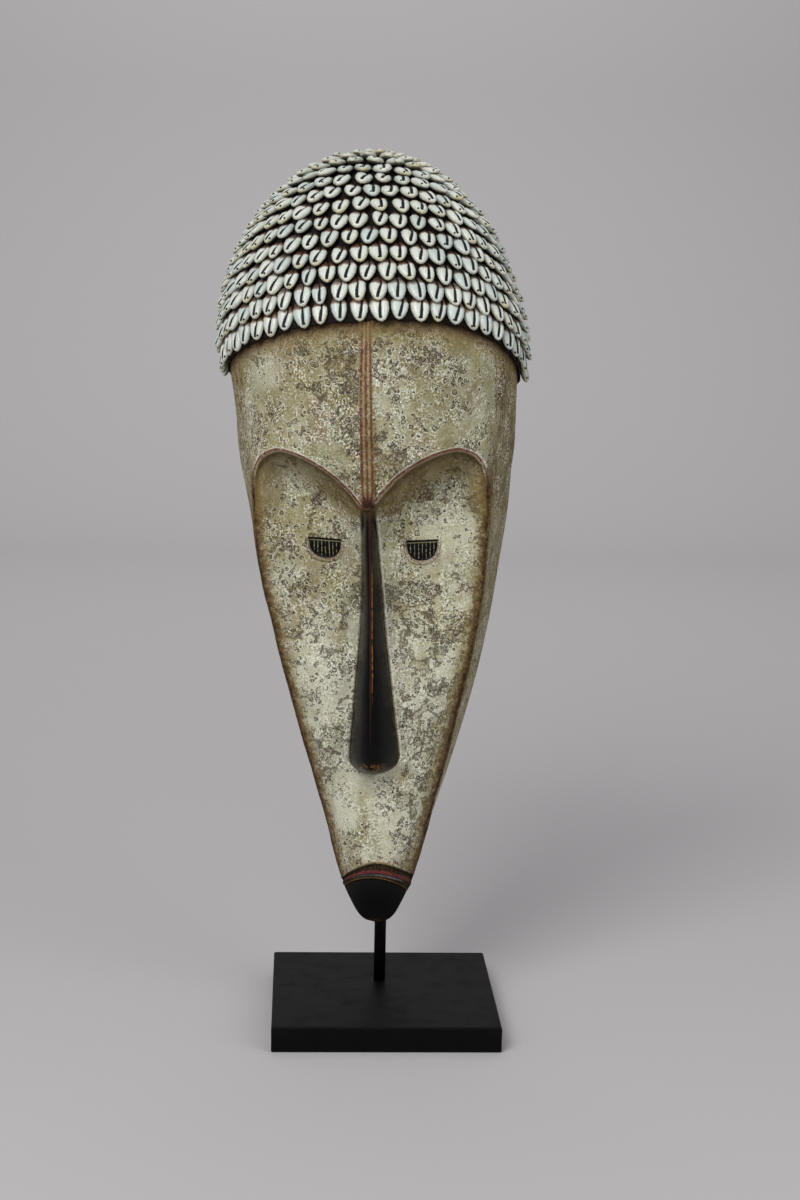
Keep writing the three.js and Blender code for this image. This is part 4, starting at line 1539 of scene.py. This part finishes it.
    def build(self) -> Piece:
        """Makes the mask and puts it in the place of the plain solid.

        Returns:
            The mask.
        """
        outside, notes = self.front_surface()
        inside = self.hollow_surface()
        rows, columns = outside.shape[:2]
        surface = Surface("painted_mask")
        placed = self.frame.place(*np.moveaxis(outside, -1, 0))
        outer = surface.add(placed, grid_quads(rows, columns), 0, **notes)
        placed = self.frame.place(*np.moveaxis(inside, -1, 0))
        blank = np.zeros_like(inside)
        turned = grid_quads(*inside.shape[:2])[:, ::-1]
        inner = surface.add(placed, turned, 1, place=inside, lines=blank, grounds=blank)
        surface.bridge(inner[:, 0], outer[:, 0], 1)
        surface.bridge(outer[:, -1], inner[:, -1], 1)
        made = surface.build([KaolinPaint().build(self.form), HollowWood().build()], weld=2e-6)
        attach(made, BODY)
        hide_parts("carved_mask")
        log.info("%s: %d faces, %d rows of %d", made.name, len(made.data.polygons), rows, columns)
        return made


@dataclass(frozen=True)
class ShellFinish:
    """Glossy ivory cowrie with a toothed black slit, a small hole, rust-brown stains and painted shade."""

    white: Colour = paint(207, 211, 202)
    cool: Colour = paint(186, 197, 193)
    cream: Colour = paint(168, 162, 130)
    yellow: Colour = paint(176, 164, 100)
    rust: Colour = paint(104, 62, 34)
    umber: Colour = paint(40, 26, 18)
    black: Colour = paint(7, 6, 6)

    def build(self) -> bpy.types.Material:
        """Makes the material from each shell's own places and random numbers.

        Returns:
            The material.
        """
        graph = Graph("cowrie_shell")
        from_slit, along, aside = graph.parts(graph.attribute("shell"))
        first, second, third = graph.parts(graph.attribute("chance"))
        lengthways, sideways, outwards = graph.parts(graph.attribute("hole"))
        place = graph.node("ShaderNodeTexCoord", {}, {}).outputs["Object"]
        blotch = graph.noise(place, 0.006, 3.0)
        fine = graph.noise(place, 0.0016, 3.0, 0.6)
        colour = graph.mix((first + blotch - 0.5).rises(0.4, 1.0), self.white, self.cool)
        colour = graph.mix(fine.falls(0.34, 0.48) * 0.4, colour, self.cream)
        # Painted shade: cream towards the flanks and outline of each shell.
        edge = aside + abs(along) * 0.3 + (blotch - 0.5) * 0.8
        colour = graph.mix(edge.rises(0.75, 1.4) * (second * 0.4 + 0.35), colour, self.cream)
        tip = along.rises(0.35, 0.95) * (third - 0.55).rises(0.0, 0.3)
        colour = graph.mix(tip * 0.4, colour, self.yellow)
        # Rust-brown stains on the upper half, with painted shade where they darken towards the outline.
        stained = along.falls(-0.6, 0.05) + (blotch - 0.5) * 1.5 + edge.rises(0.9, 1.4) * 0.35
        colour = graph.mix(stained.rises(0.42, 0.85) * (third * 0.3 + 0.65), colour, self.rust)
        # Painted shade: umber on the upper end tucked under the row above and on the underside.
        tucked_shade = along.falls(-0.66, -0.34).most(aside.rises(1.1, 1.4))
        colour = graph.mix(tucked_shade * 0.72, colour, self.umber)
        teeth = abs((along * 8.0 + second).math("FRACT") - 0.5) * along.rises(-0.5, 0.1)
        toothed = teeth * from_slit.falls(-0.3, 0.3) * 0.9
        half = along.rises(-0.8, 0.3) * 0.5 + 0.52
        slit = (abs(from_slit) - half - toothed).falls(-0.2, 0.2)
        slit = slit * along.falls(0.76, 0.84) * aside.falls(0.9, 1.0)
        from_hole = (lengthways * lengthways + sideways * sideways + outwards * outwards).math("SQRT")
        hole = from_hole.falls(0.65, 1.15) * (third - 0.2).rises(0.0, 0.05)
        opening = slit.most(hole)
        colour = graph.mix(opening, colour, self.black)
        return graph.finish(colour, opening * 0.4 + 0.34, 1 - opening, 0.0005, gloss=0.42)


@dataclass(frozen=True)
class ClothFinish:
    """Coarse dark brown cloth with a plain weave."""

    dark: Colour = paint(17, 14, 13)
    light: Colour = paint(40, 33, 29)
    thread: float = 1.1

    def build(self) -> bpy.types.Material:
        """Makes the material: two sets of threads, over and under in turn, on the cloth's own map.

        Returns:
            The material.
        """
        graph = Graph("cap_cloth_weave")
        around, along, _ = graph.parts(graph.attribute("weave"))
        warp = (around * (math.pi / self.thread)).math("SINE")
        weft = (along * (math.pi / self.thread)).math("SINE")
        woven = warp * weft * 0.5 + 0.5
        worn = graph.noise(graph.attribute("weave"), 9.0, 3.0)
        colour = graph.mix(woven * worn, self.dark, self.light)
        return graph.finish(colour, 0.95, woven, 0.0004, gloss=0.2)


def turned(first: Array, second: Array, angle: Array) -> tuple[Array, Array]:
    """Turns two square directions in their plane: the first moves towards the second.

    Args:
        first: directions of shape (n, 3).
        second: directions square to them, of the same shape.
        angle: the angle of each pair, in radians.

    Returns:
        first * cos + second * sin and second * cos - first * sin.
    """
    cos, sin = np.cos(angle)[:, None], np.sin(angle)[:, None]
    return first * cos + second * sin, second * cos - first * sin


@dataclass
class CowrieCap:
    """The cloth cap and the rows of cowrie shells sewn on it."""

    form: MaskForm
    frame: MaskFrame
    rows: Sequence[str]
    cloth_gap: float = 0.6
    cloth_thickness: float = 1.2
    cloth_start: float = 4.5
    cloth_columns: int = 161
    cloth_rows: int = 70
    shell_length: float = 21.0
    shell_width: float = 13.7
    shell_thickness: float = 6.6
    shell_pitch: float = 14.4
    shell_seat: float = 1.2
    tilts: tuple[float, ...] = (8.0, 16.0, 20.0, 21.5)
    side_flares: tuple[float, ...] = (4.0, 11.0)
    side_roll: float = 20.0
    row_pitch: float = 14.1
    first_row: float = 13.0
    row_end_margin: float = 5.0
    rings: tuple[float, ...] = (-1.0, -0.85, -0.35, 0.2, 0.6, 0.86, 1.0)
    outer_columns: tuple[float, ...] = (-1.0, -0.82, -0.5, -0.19, 0.0, 0.19, 0.5, 0.82, 1.0)
    inner_columns: tuple[float, ...] = (0.6, 0.0, -0.6)
    hole_along: float = 0.74
    profile_samples: int = 4000
    row_samples: int = 801
    weave_half_width: float = 180.0
    hem: tuple[float, ...] = (0.0, 1.2, 2.6)
    fray: float = 2.6
    fray_cell: float = 3.0
    fray_fade: float = 4.0
    sizes: Pair = (0.9, 1.06)
    slimness: Pair = (0.93, 1.07)
    slit_offsets: Pair = (0.18, 0.34)
    slit_hooks: Pair = (-0.42, -0.12)
    egg_power: float = 2.2
    crown_power: float = 2.8
    tip_narrowing: float = 0.26
    spacing_play: float = 0.06
    tilt_play: float = 3.0
    roll_play: float = 9.0
    twist_play: float = 11.0
    slide_play: float = 0.9
    random: np.random.Generator = field(default_factory=lambda: np.random.default_rng(7))

    @property
    def grow(self) -> float:
        """How far the cloth's outer side stands over the dome."""
        return self.cloth_gap + self.cloth_thickness

    def profile(self, grow: float) -> tuple[Array, Array]:
        """The middle of the cap seen from the side, with the length along it from the cap's edge.

        Args:
            grow: how far the line runs over the dome.

        Returns:
            Points of shape (n, 2) as depth and height, and the length at each, negative below the edge.
        """
        forwards, upwards = self.form.dome_radii[1] + grow, self.form.dome_radii[2] + grow
        depth0, height0 = self.form.dome_centre
        angle = np.linspace(-0.3, math.acos(-depth0 / forwards), self.profile_samples)
        line = np.stack([depth0 + forwards * np.cos(angle), height0 + upwards * np.sin(angle)], -1)
        steps = np.linalg.norm(np.diff(line, axis=0), axis=1)
        length = np.concatenate([[0], np.cumsum(steps)])
        edge = np.argmax(self.form.above_cap_edge(0.0, line[:, 0], line[:, 1]) >= 0)
        return line, length - length[edge]

    def level_points(self, grow: float, distances: Array, shares: Array) -> Array:
        """Places over the cap in planes that run level across it and lean forwards.

        Args:
            grow: how far the places are over the dome.
            distances: distance of each plane along the cap's middle from its front edge.
            shares: how far round each place is, from -1 to 1.

        Returns:
            Place across, depth and height, in the shape to which distances and shares spread.
        """
        form = self.form
        line, length = self.profile(grow)
        depth = np.interp(distances, length, line[:, 0])
        height = np.interp(distances, length, line[:, 1])
        depth0, height0 = form.dome_centre
        radii = np.array(form.dome_radii) + grow
        slope = form.cap_tilt * radii[1] / radii[2]
        offset = (height - form.cap_tilt * (depth - depth0) - height0) / radii[2]
        back_depth = -depth0 / radii[1]
        back = np.stack([np.full(offset.shape, back_depth), offset + slope * back_depth], -1)
        return form.plane_arc(radii, back, back + np.array([1, slope]), shares)

    def row_points(self, grow: float, distances: Array, shares: Array) -> Array:
        """Curves over the cap that lean as its edge does.

        Args:
            grow: how far the curves run over the dome.
            distances: distance of each curve along the cap's middle from its front edge.
            shares: how far round each point is, from -1 to 1.

        Returns:
            Points of shape (distances, shares, 3) as place across, depth and height.
        """
        distances = distances[:, None]
        level = self.level_points(grow, distances, shares)
        lean = self.form.cap_lean(level[..., 0], level[..., 1])
        return self.level_points(grow, distances + lean, shares)

    def out_of_dome(self, points: Array, grow: float) -> Array:
        """Directions straight out of the dome, as x, y and z of the mask's frame.

        Args:
            points: place across, depth and height, of shape (..., 3).
            grow: how far the points are over the dome.

        Returns:
            The slope of the dome's equation at each point, with a length of 1.
        """
        radii = np.array(self.form.dome_radii) + grow
        out = (points - np.array([0, *self.form.dome_centre])) / radii**2 * np.array([1, -1, 1])
        return out / np.linalg.norm(out, axis=-1, keepdims=True)

    def build_cloth(self) -> Piece:
        """Makes the cloth as a closed skin over the dome, with an uneven lower edge.

        Returns:
            The cloth.
        """
        shares = np.linspace(-1, 1, self.cloth_columns)
        skins = []
        for grow in (self.grow, self.cloth_gap):
            _, length = self.profile(grow)
            edge = self.cloth_start + np.array(self.hem)
            distances = np.concatenate([edge, np.linspace(edge[-1] + 2, length[-1] - 0.5, self.cloth_rows)])
            points = self.row_points(grow, distances, shares)
            ragged = lattice_noise(points * np.array([1, 1, 0]), self.fray_cell, 31) - 0.4
            fade = np.exp(-(distances - distances[0]) / self.fray_fade)[:, None]
            points[..., 2] -= ragged * self.fray * fade
            points[-1] = np.array([0, 0, points[-1, len(shares) // 2, 2]])
            around = shares * self.weave_half_width
            weave = np.stack(np.broadcast_arrays(around, distances[:, None], 0.0), -1)
            skins.append((self.form.swayed(points), weave))
        surface = Surface("cowrie_cap_cloth")
        quads = grid_quads(*skins[0][0].shape[:2])
        numbers = []
        for (points, weave), faces in zip(skins, (quads, quads[:, ::-1])):
            placed = self.frame.place(*np.moveaxis(points, -1, 0))
            numbers.append(surface.add(placed, faces, 0, weave=weave))
        outer, inner = numbers
        surface.bridge(inner[:, 0], outer[:, 0])
        surface.bridge(outer[:, -1], inner[:, -1])
        surface.bridge(outer[0], inner[0])
        made = surface.build([ClothFinish().build()])
        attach(made, BODY)
        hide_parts("cap_cloth")
        log.info("%s: %d faces", made.name, len(made.data.polygons))
        return made

    def shell_points(self, facing: Array) -> tuple[Array, dict[str, Array]]:
        """Surfaces of cowries, lying along x with the slit up z: a flattened egg with a groove on top.

        The half width is a root of 1 - s^2.2 that narrows towards the tip, and the height falls off with
        a power of the share of the half width. The groove runs right of the middle and hooks back to it
        near the tip. A small hole near the tip lies at the share of the half width that faces forwards.

        Args:
            facing: that share for each shell, from -1 to 1.

        Returns:
            Points of shape (shells, rings, columns, 3) in millimetres, as place along, across and out, and
            the attributes that their finish reads.
        """
        count = len(facing)
        random = self.random
        size = random.uniform(*self.sizes, (count, 1, 1))
        slim = random.uniform(*self.slimness, (count, 1, 1))
        offset = random.uniform(*self.slit_offsets, (count, 1, 1))
        hook = random.uniform(*self.slit_hooks, (count, 1, 1))
        chance = random.random((count, 1, 1, 3))
        along = np.array(self.rings)[None, :, None]
        outer = np.array(self.outer_columns)[None, None, :]
        inner = np.array(self.inner_columns)[None, None, :]
        half, rise = self.shell_section(along, size)
        half = half * slim
        slit = offset + hook * smoothstep(along, -0.4, 0.9)
        share = outer + slit * (1 - np.abs(outer))
        cut = (1 - smoothstep(along, 0.66, 0.9)) * (np.abs(along) < 1)
        dip = np.select([np.abs(outer) < 0.01, np.abs(outer) < 0.2], [2.2, 0.5], 0.0) * cut
        top = rise * np.sqrt(np.clip(1 - np.abs(share) ** self.crown_power, 0, 1)) - dip
        under = -rise * np.sqrt(1 - inner**2)
        across = np.concatenate([half * share, half * inner], -1)
        out = np.concatenate([top, under], -1)
        length = np.broadcast_to(self.shell_length / 2 * size * along, across.shape)
        beneath = np.full(under.shape, 1.5)
        aside = np.concatenate([np.abs(share), beneath], -1)
        points = np.stack([length, across, out], -1)
        shell = np.stack(np.broadcast_arrays(across - half * slit, along, aside), -1)
        hole_half, hole_rise = self.shell_section(self.hole_along, size[:, 0, 0])
        hole_out = hole_rise * (1 - np.abs(facing) ** self.crown_power) ** 0.5
        hole_length = self.shell_length / 2 * size[:, 0, 0] * self.hole_along
        hole = np.stack([hole_length, hole_half * slim[:, 0, 0] * facing, hole_out], -1)
        notes = {"shell": shell, "hole": points - hole[:, None, None, :]}
        return points, {**notes, "chance": np.broadcast_to(chance, points.shape).copy()}

    def shell_section(self, along: Array | float, size: Array) -> tuple[Array, Array]:
        """Half width and half thickness of a shell: the root of 1 - s^n, with n the egg's power.

        Args:
            along: s, the share of the half length, from -1 to 1.
            size: the shell's size, 1 for a middling one.

        Returns:
            The half width, which narrows evenly towards the tip, and the half thickness.
        """
        body = np.sqrt(1 - np.abs(along) ** self.egg_power)
        half = self.shell_width / 2 * size * body * (1 - self.tip_narrowing * along)
        return half, self.shell_thickness / 2 * size * body

    def shell_places(self, row: int) -> tuple[Array, Array]:
        """Middles and axes of the shells of a row, with small differences from shell to shell.

        The shells' tips stand out from the cloth, further towards both ends of the row, where the shells
        are also rolled to the front.

        Args:
            row: the row's number, 0 at the bottom.

        Returns:
            Points of shape (n, 3) as place across, depth and height, and matrices whose rows are the
            directions of a shell's length, width and outer side in the mask's frame.
        """
        distance = np.array([self.first_row + row * self.row_pitch])
        dense = self.row_points(self.grow, distance, np.linspace(-1, 1, self.row_samples))[0]
        steps = np.linalg.norm(np.diff(dense, axis=0), axis=1)
        length = np.concatenate([[0], np.cumsum(steps)])
        usable = length[-1] - 2 * self.row_end_margin
        count = max(2, round(usable / self.shell_pitch))
        random = self.random
        jitter = random.uniform(-self.spacing_play, self.spacing_play, count)
        at = self.row_end_margin + usable * (np.arange(count) + 0.5 + jitter) / count
        middle = np.stack([np.interp(at, length, dense[:, k]) for k in range(3)], -1)
        ahead = np.stack([np.interp(at + 1, length, dense[:, k]) for k in range(3)], -1)
        side = (ahead - middle) * np.array([1, -1, 1])
        side /= np.linalg.norm(side, axis=-1, keepdims=True)
        out = self.out_of_dome(middle, self.grow)
        down = np.cross(side, out)
        round_share = 2 * at / length[-1] - 1
        fade = 1 - row / len(self.rows)
        flare = self.side_flares[min(row, len(self.side_flares) - 1)] * fade * round_share**2
        base = self.tilts[min(row, len(self.tilts) - 1)] + flare
        tilt = np.radians(base + random.uniform(-self.tilt_play, self.tilt_play, count))
        loose = random.uniform(-self.roll_play, self.roll_play, count)
        roll = np.radians(loose + self.side_roll * round_share)
        twist = np.radians(random.uniform(-self.twist_play, self.twist_play, count))
        lift = self.shell_length * 0.36 * np.sin(tilt) + self.shell_seat
        slid = random.uniform(-self.slide_play, self.slide_play, count)
        centre = middle * np.array([1, -1, 1]) + out * lift[:, None] + down * slid[:, None]
        down, side = turned(down, side, twist)
        lengthwise, outwards = turned(down, out, tilt)
        side, outwards = turned(side, outwards, roll)
        return centre * np.array([1, -1, 1]), np.stack([lengthwise, side, outwards], axis=1)

    def build_row(self, row: int, finish: bpy.types.Material) -> Piece:
        """Makes a row of shells as one piece in the place of its strip.

        Args:
            row: the row's number, 0 at the bottom.
            finish: the material of the shells.

        Returns:
            The piece.
        """
        node = self.rows[row]
        centre, axes = self.shell_places(row)
        forwards = -axes[:, 1:, 1]
        facing = forwards[:, 0] / np.hypot(forwards[:, 0], forwards[:, 1])
        shape, notes = self.shell_points(np.clip(facing, -0.8, 0.8))
        local = np.einsum("nrck,nkj->nrcj", shape, axes)
        points = self.form.swayed(local * np.array([1, -1, 1]) + centre[:, None, None, :])
        count, rings, columns = points.shape[:3]
        one = grid_quads(rings, columns, closed=True)[:, ::-1]
        starts = np.arange(count)[:, None, None] * rings * columns
        surface = Surface(node.replace("row", "shells"))
        placed = self.frame.place(*np.moveaxis(points, -1, 0))
        surface.add(placed, (one[None] + starts).reshape(-1, 4), 0, **notes)
        piece = surface.build([finish])
        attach(piece, BODY)
        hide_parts(node)
        log.info("%s: %d shells, %d faces", piece.name, count, len(piece.data.polygons))
        return piece

    def build_rows(self) -> list[Piece]:
        """Makes all rows of shells, from the bottom up."""
        finish = ShellFinish().build()
        return [self.build_row(row, finish) for row in range(len(self.rows))]


@dataclass(frozen=True)
class BlackPaint:
    """Satin black paint with faint dust, specks and a fine grain in its surface."""

    name: str
    black: Colour = paint(6, 6, 7)
    dust: Colour = paint(20, 20, 22)

    def build(self) -> bpy.types.Material:
        """Makes the material on the piece's own places.

        Returns:
            The material.
        """
        graph = Graph(self.name)
        place = graph.node("ShaderNodeTexCoord", {}, {}).outputs["Object"]
        dust = graph.noise(place, 0.02, 4.0, 0.6).rises(0.45, 0.75)
        speck = graph.noise(place, 0.0012, 2.0).rises(0.68, 0.76)
        colour = graph.mix((dust * 0.3 + speck * 0.5).least(1.0), self.black, self.dust)
        grain = graph.noise(place, 0.0009, 2.0)
        return graph.finish(colour, dust * 0.12 + 0.5, grain, 0.00005, gloss=0.08)


@dataclass(frozen=True)
class Stand:
    """The square base and the rod."""

    rod_sides: int = 40
    rod_levels: int = 14
    end_steps: int = 8

    def dress_base(self, node: Piece) -> None:
        """Gives the base its paint."""
        node.data.materials.clear()
        node.data.materials.append(BlackPaint("base_paint").build())

    def build_rod(self) -> Piece:
        """Makes the rod: a circle carried up a straight line, closed by a disc below and a dome above.

        Returns:
            The rod.
        """
        low, high = (np.array(corner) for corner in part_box("stand_rod"))
        middle = (low + high) / 2
        radius = (high[0] - low[0]) / 2
        bend = np.linspace(0, math.pi / 2, self.end_steps)
        reach = np.concatenate([[0.0], np.ones(self.rod_levels - 1), np.cos(bend)]) * radius
        body = np.linspace(low[2], high[2] - radius, self.rod_levels)[:-1]
        height = np.concatenate([[low[2]], body, high[2] - radius + radius * np.sin(bend)])
        angle = np.linspace(0, 2 * math.pi, self.rod_sides, endpoint=False)
        x = middle[0] + reach[:, None] * np.cos(angle)
        y = middle[1] + reach[:, None] * np.sin(angle)
        points = np.stack(np.broadcast_arrays(x, y, height[:, None]), -1)
        surface = Surface("round_rod")
        surface.add(points, grid_quads(len(height), self.rod_sides, closed=True))
        made = surface.build([BlackPaint("rod_paint").build()])
        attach(made, BODY)
        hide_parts("stand_rod")
        log.info("%s: %d faces", made.name, len(made.data.polygons))
        return made


@dataclass(frozen=True)
class SoftLight:
    """A square area light, in metres and watts."""

    name: str
    place: Triple
    target: Triple
    size: float
    power: float

    def build(self) -> None:
        """Adds the light and turns it to its target."""
        data = bpy.data.lights.new(self.name, "AREA")
        data.size = self.size
        data.energy = self.power
        made = bpy.data.objects.new(self.name, data)
        bpy.context.scene.collection.objects.link(made)
        back = np.array(self.place) - np.array(self.target)
        back = back / np.linalg.norm(back)
        right = np.cross([0, 0, 1], back)
        right = right / np.linalg.norm(right)
        turn = np.eye(4)
        turn[:3, :3] = np.stack([right, np.cross(back, right), back], axis=1)
        turn[:3, 3] = self.place
        made.matrix_world = Matrix(turn.tolist())


@dataclass(frozen=True)
class Studio:
    """Floor, backdrop, soft lights and the camera."""

    paper: Colour = paint(186, 183, 183)
    sky: Colour = (0.93, 0.95, 1.0, 1.0)
    sky_strength: float = 0.38
    lights: tuple[SoftLight, ...] = (
        SoftLight("key_light", (-1.0, -1.9, 2.0), (0, 0, 0.4), 1.3, 52.0),
        SoftLight("fill_light", (1.6, -1.5, 1.3), (0, 0, 0.4), 1.3, 13.0),
        SoftLight("backdrop_light", (0.0, 1.9, 2.7), (0, 3.6, 0.5), 2.0, 31.0),
    )
    camera_place: Triple = (-0.073, -1.672, 0.622)
    yaw: float = 2.77
    pitch: float = 9.46
    roll: float = 1.13
    lens: float = 64.05
    floor_half: float = 6.0
    floor_front: float = -4.0
    backdrop_y: float = 3.6
    backdrop_height: float = 4.0
    backdrop_radius: float = 1.0
    backdrop_steps: int = 24

    def build_floor(self) -> None:
        """Makes a pale floor that curves up into a backdrop: a quarter circle between two planes."""
        bend = np.linspace(0, math.pi / 2, self.backdrop_steps)
        radius = self.backdrop_radius
        curve = self.backdrop_y - radius + radius * np.sin(bend)
        y = np.concatenate([[self.floor_front], curve, [self.backdrop_y]])
        z = np.concatenate([[0.0], radius - radius * np.cos(bend), [self.backdrop_height]])
        x = np.array([-self.floor_half, self.floor_half])
        points = np.stack(np.broadcast_arrays(x, y[:, None], z[:, None]), -1)
        surface = Surface("studio_floor")
        surface.add(points, grid_quads(len(y), 2))
        made = surface.build([Graph("floor_paper").finish(self.paper, 0.9, gloss=0.2)])
        made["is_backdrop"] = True

    def build_lights(self) -> None:
        """Sets the soft lights and a soft sky."""
        for light in self.lights:
            light.build()
        world = bpy.data.worlds.new("studio_sky")
        bpy.context.scene.world = world
        world.use_nodes = True
        background = world.node_tree.nodes["Background"]
        background.inputs["Color"].default_value = self.sky
        background.inputs["Strength"].default_value = self.sky_strength
        bpy.context.scene.view_settings.view_transform = "Standard"

    def build_camera(self) -> None:
        """Sets the camera at the viewing angle: yaw to the right, pitch down, then a roll."""
        yaw, pitch, roll = (math.radians(angle) for angle in (self.yaw, self.pitch, self.roll))
        level = np.array([math.sin(yaw), math.cos(yaw), 0])
        forward = level * math.cos(pitch) - np.array([0, 0, math.sin(pitch)])
        right = np.array([math.cos(yaw), -math.sin(yaw), 0])
        up = np.cross(right, forward)
        turn = np.eye(4)
        turn[:3, 0] = math.cos(roll) * right + math.sin(roll) * up
        turn[:3, 1] = -math.sin(roll) * right + math.cos(roll) * up
        turn[:3, 2] = -forward
        turn[:3, 3] = self.camera_place
        data = bpy.data.cameras.new("camera")
        data.lens = self.lens
        camera = bpy.data.objects.new("camera", data)
        bpy.context.scene.collection.objects.link(camera)
        camera.matrix_world = Matrix(turn.tolist())
        bpy.context.scene.camera = camera


def corners(bounds: Sequence) -> list[list[float]]:
    """A box's corners as plain lists of numbers."""
    return [[float(number) for number in corner] for corner in bounds]


def main() -> None:
    """Builds the studio, the stand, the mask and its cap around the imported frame."""
    logging.basicConfig(level=logging.INFO, format="%(name)s: %(message)s")
    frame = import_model()
    packed = corners(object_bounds())
    studio = Studio()
    studio.build_camera()
    studio.build_lights()
    studio.build_floor()
    stand = Stand()
    stand.dress_base(frame["nodes"]["stand_base"])
    stand.build_rod()
    form, mask_frame = MaskForm(), MaskFrame()
    CarvedMask(form, mask_frame).build()
    rows = sorted(name for name in frame["nodes"] if name.startswith("cowrie_row_"))
    cap = CowrieCap(form, mask_frame, rows)
    cap.build_cloth()
    cap.build_rows()
    {"cad": packed, "visual": corners(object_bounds())}


if __name__ == "__main__":
    main()
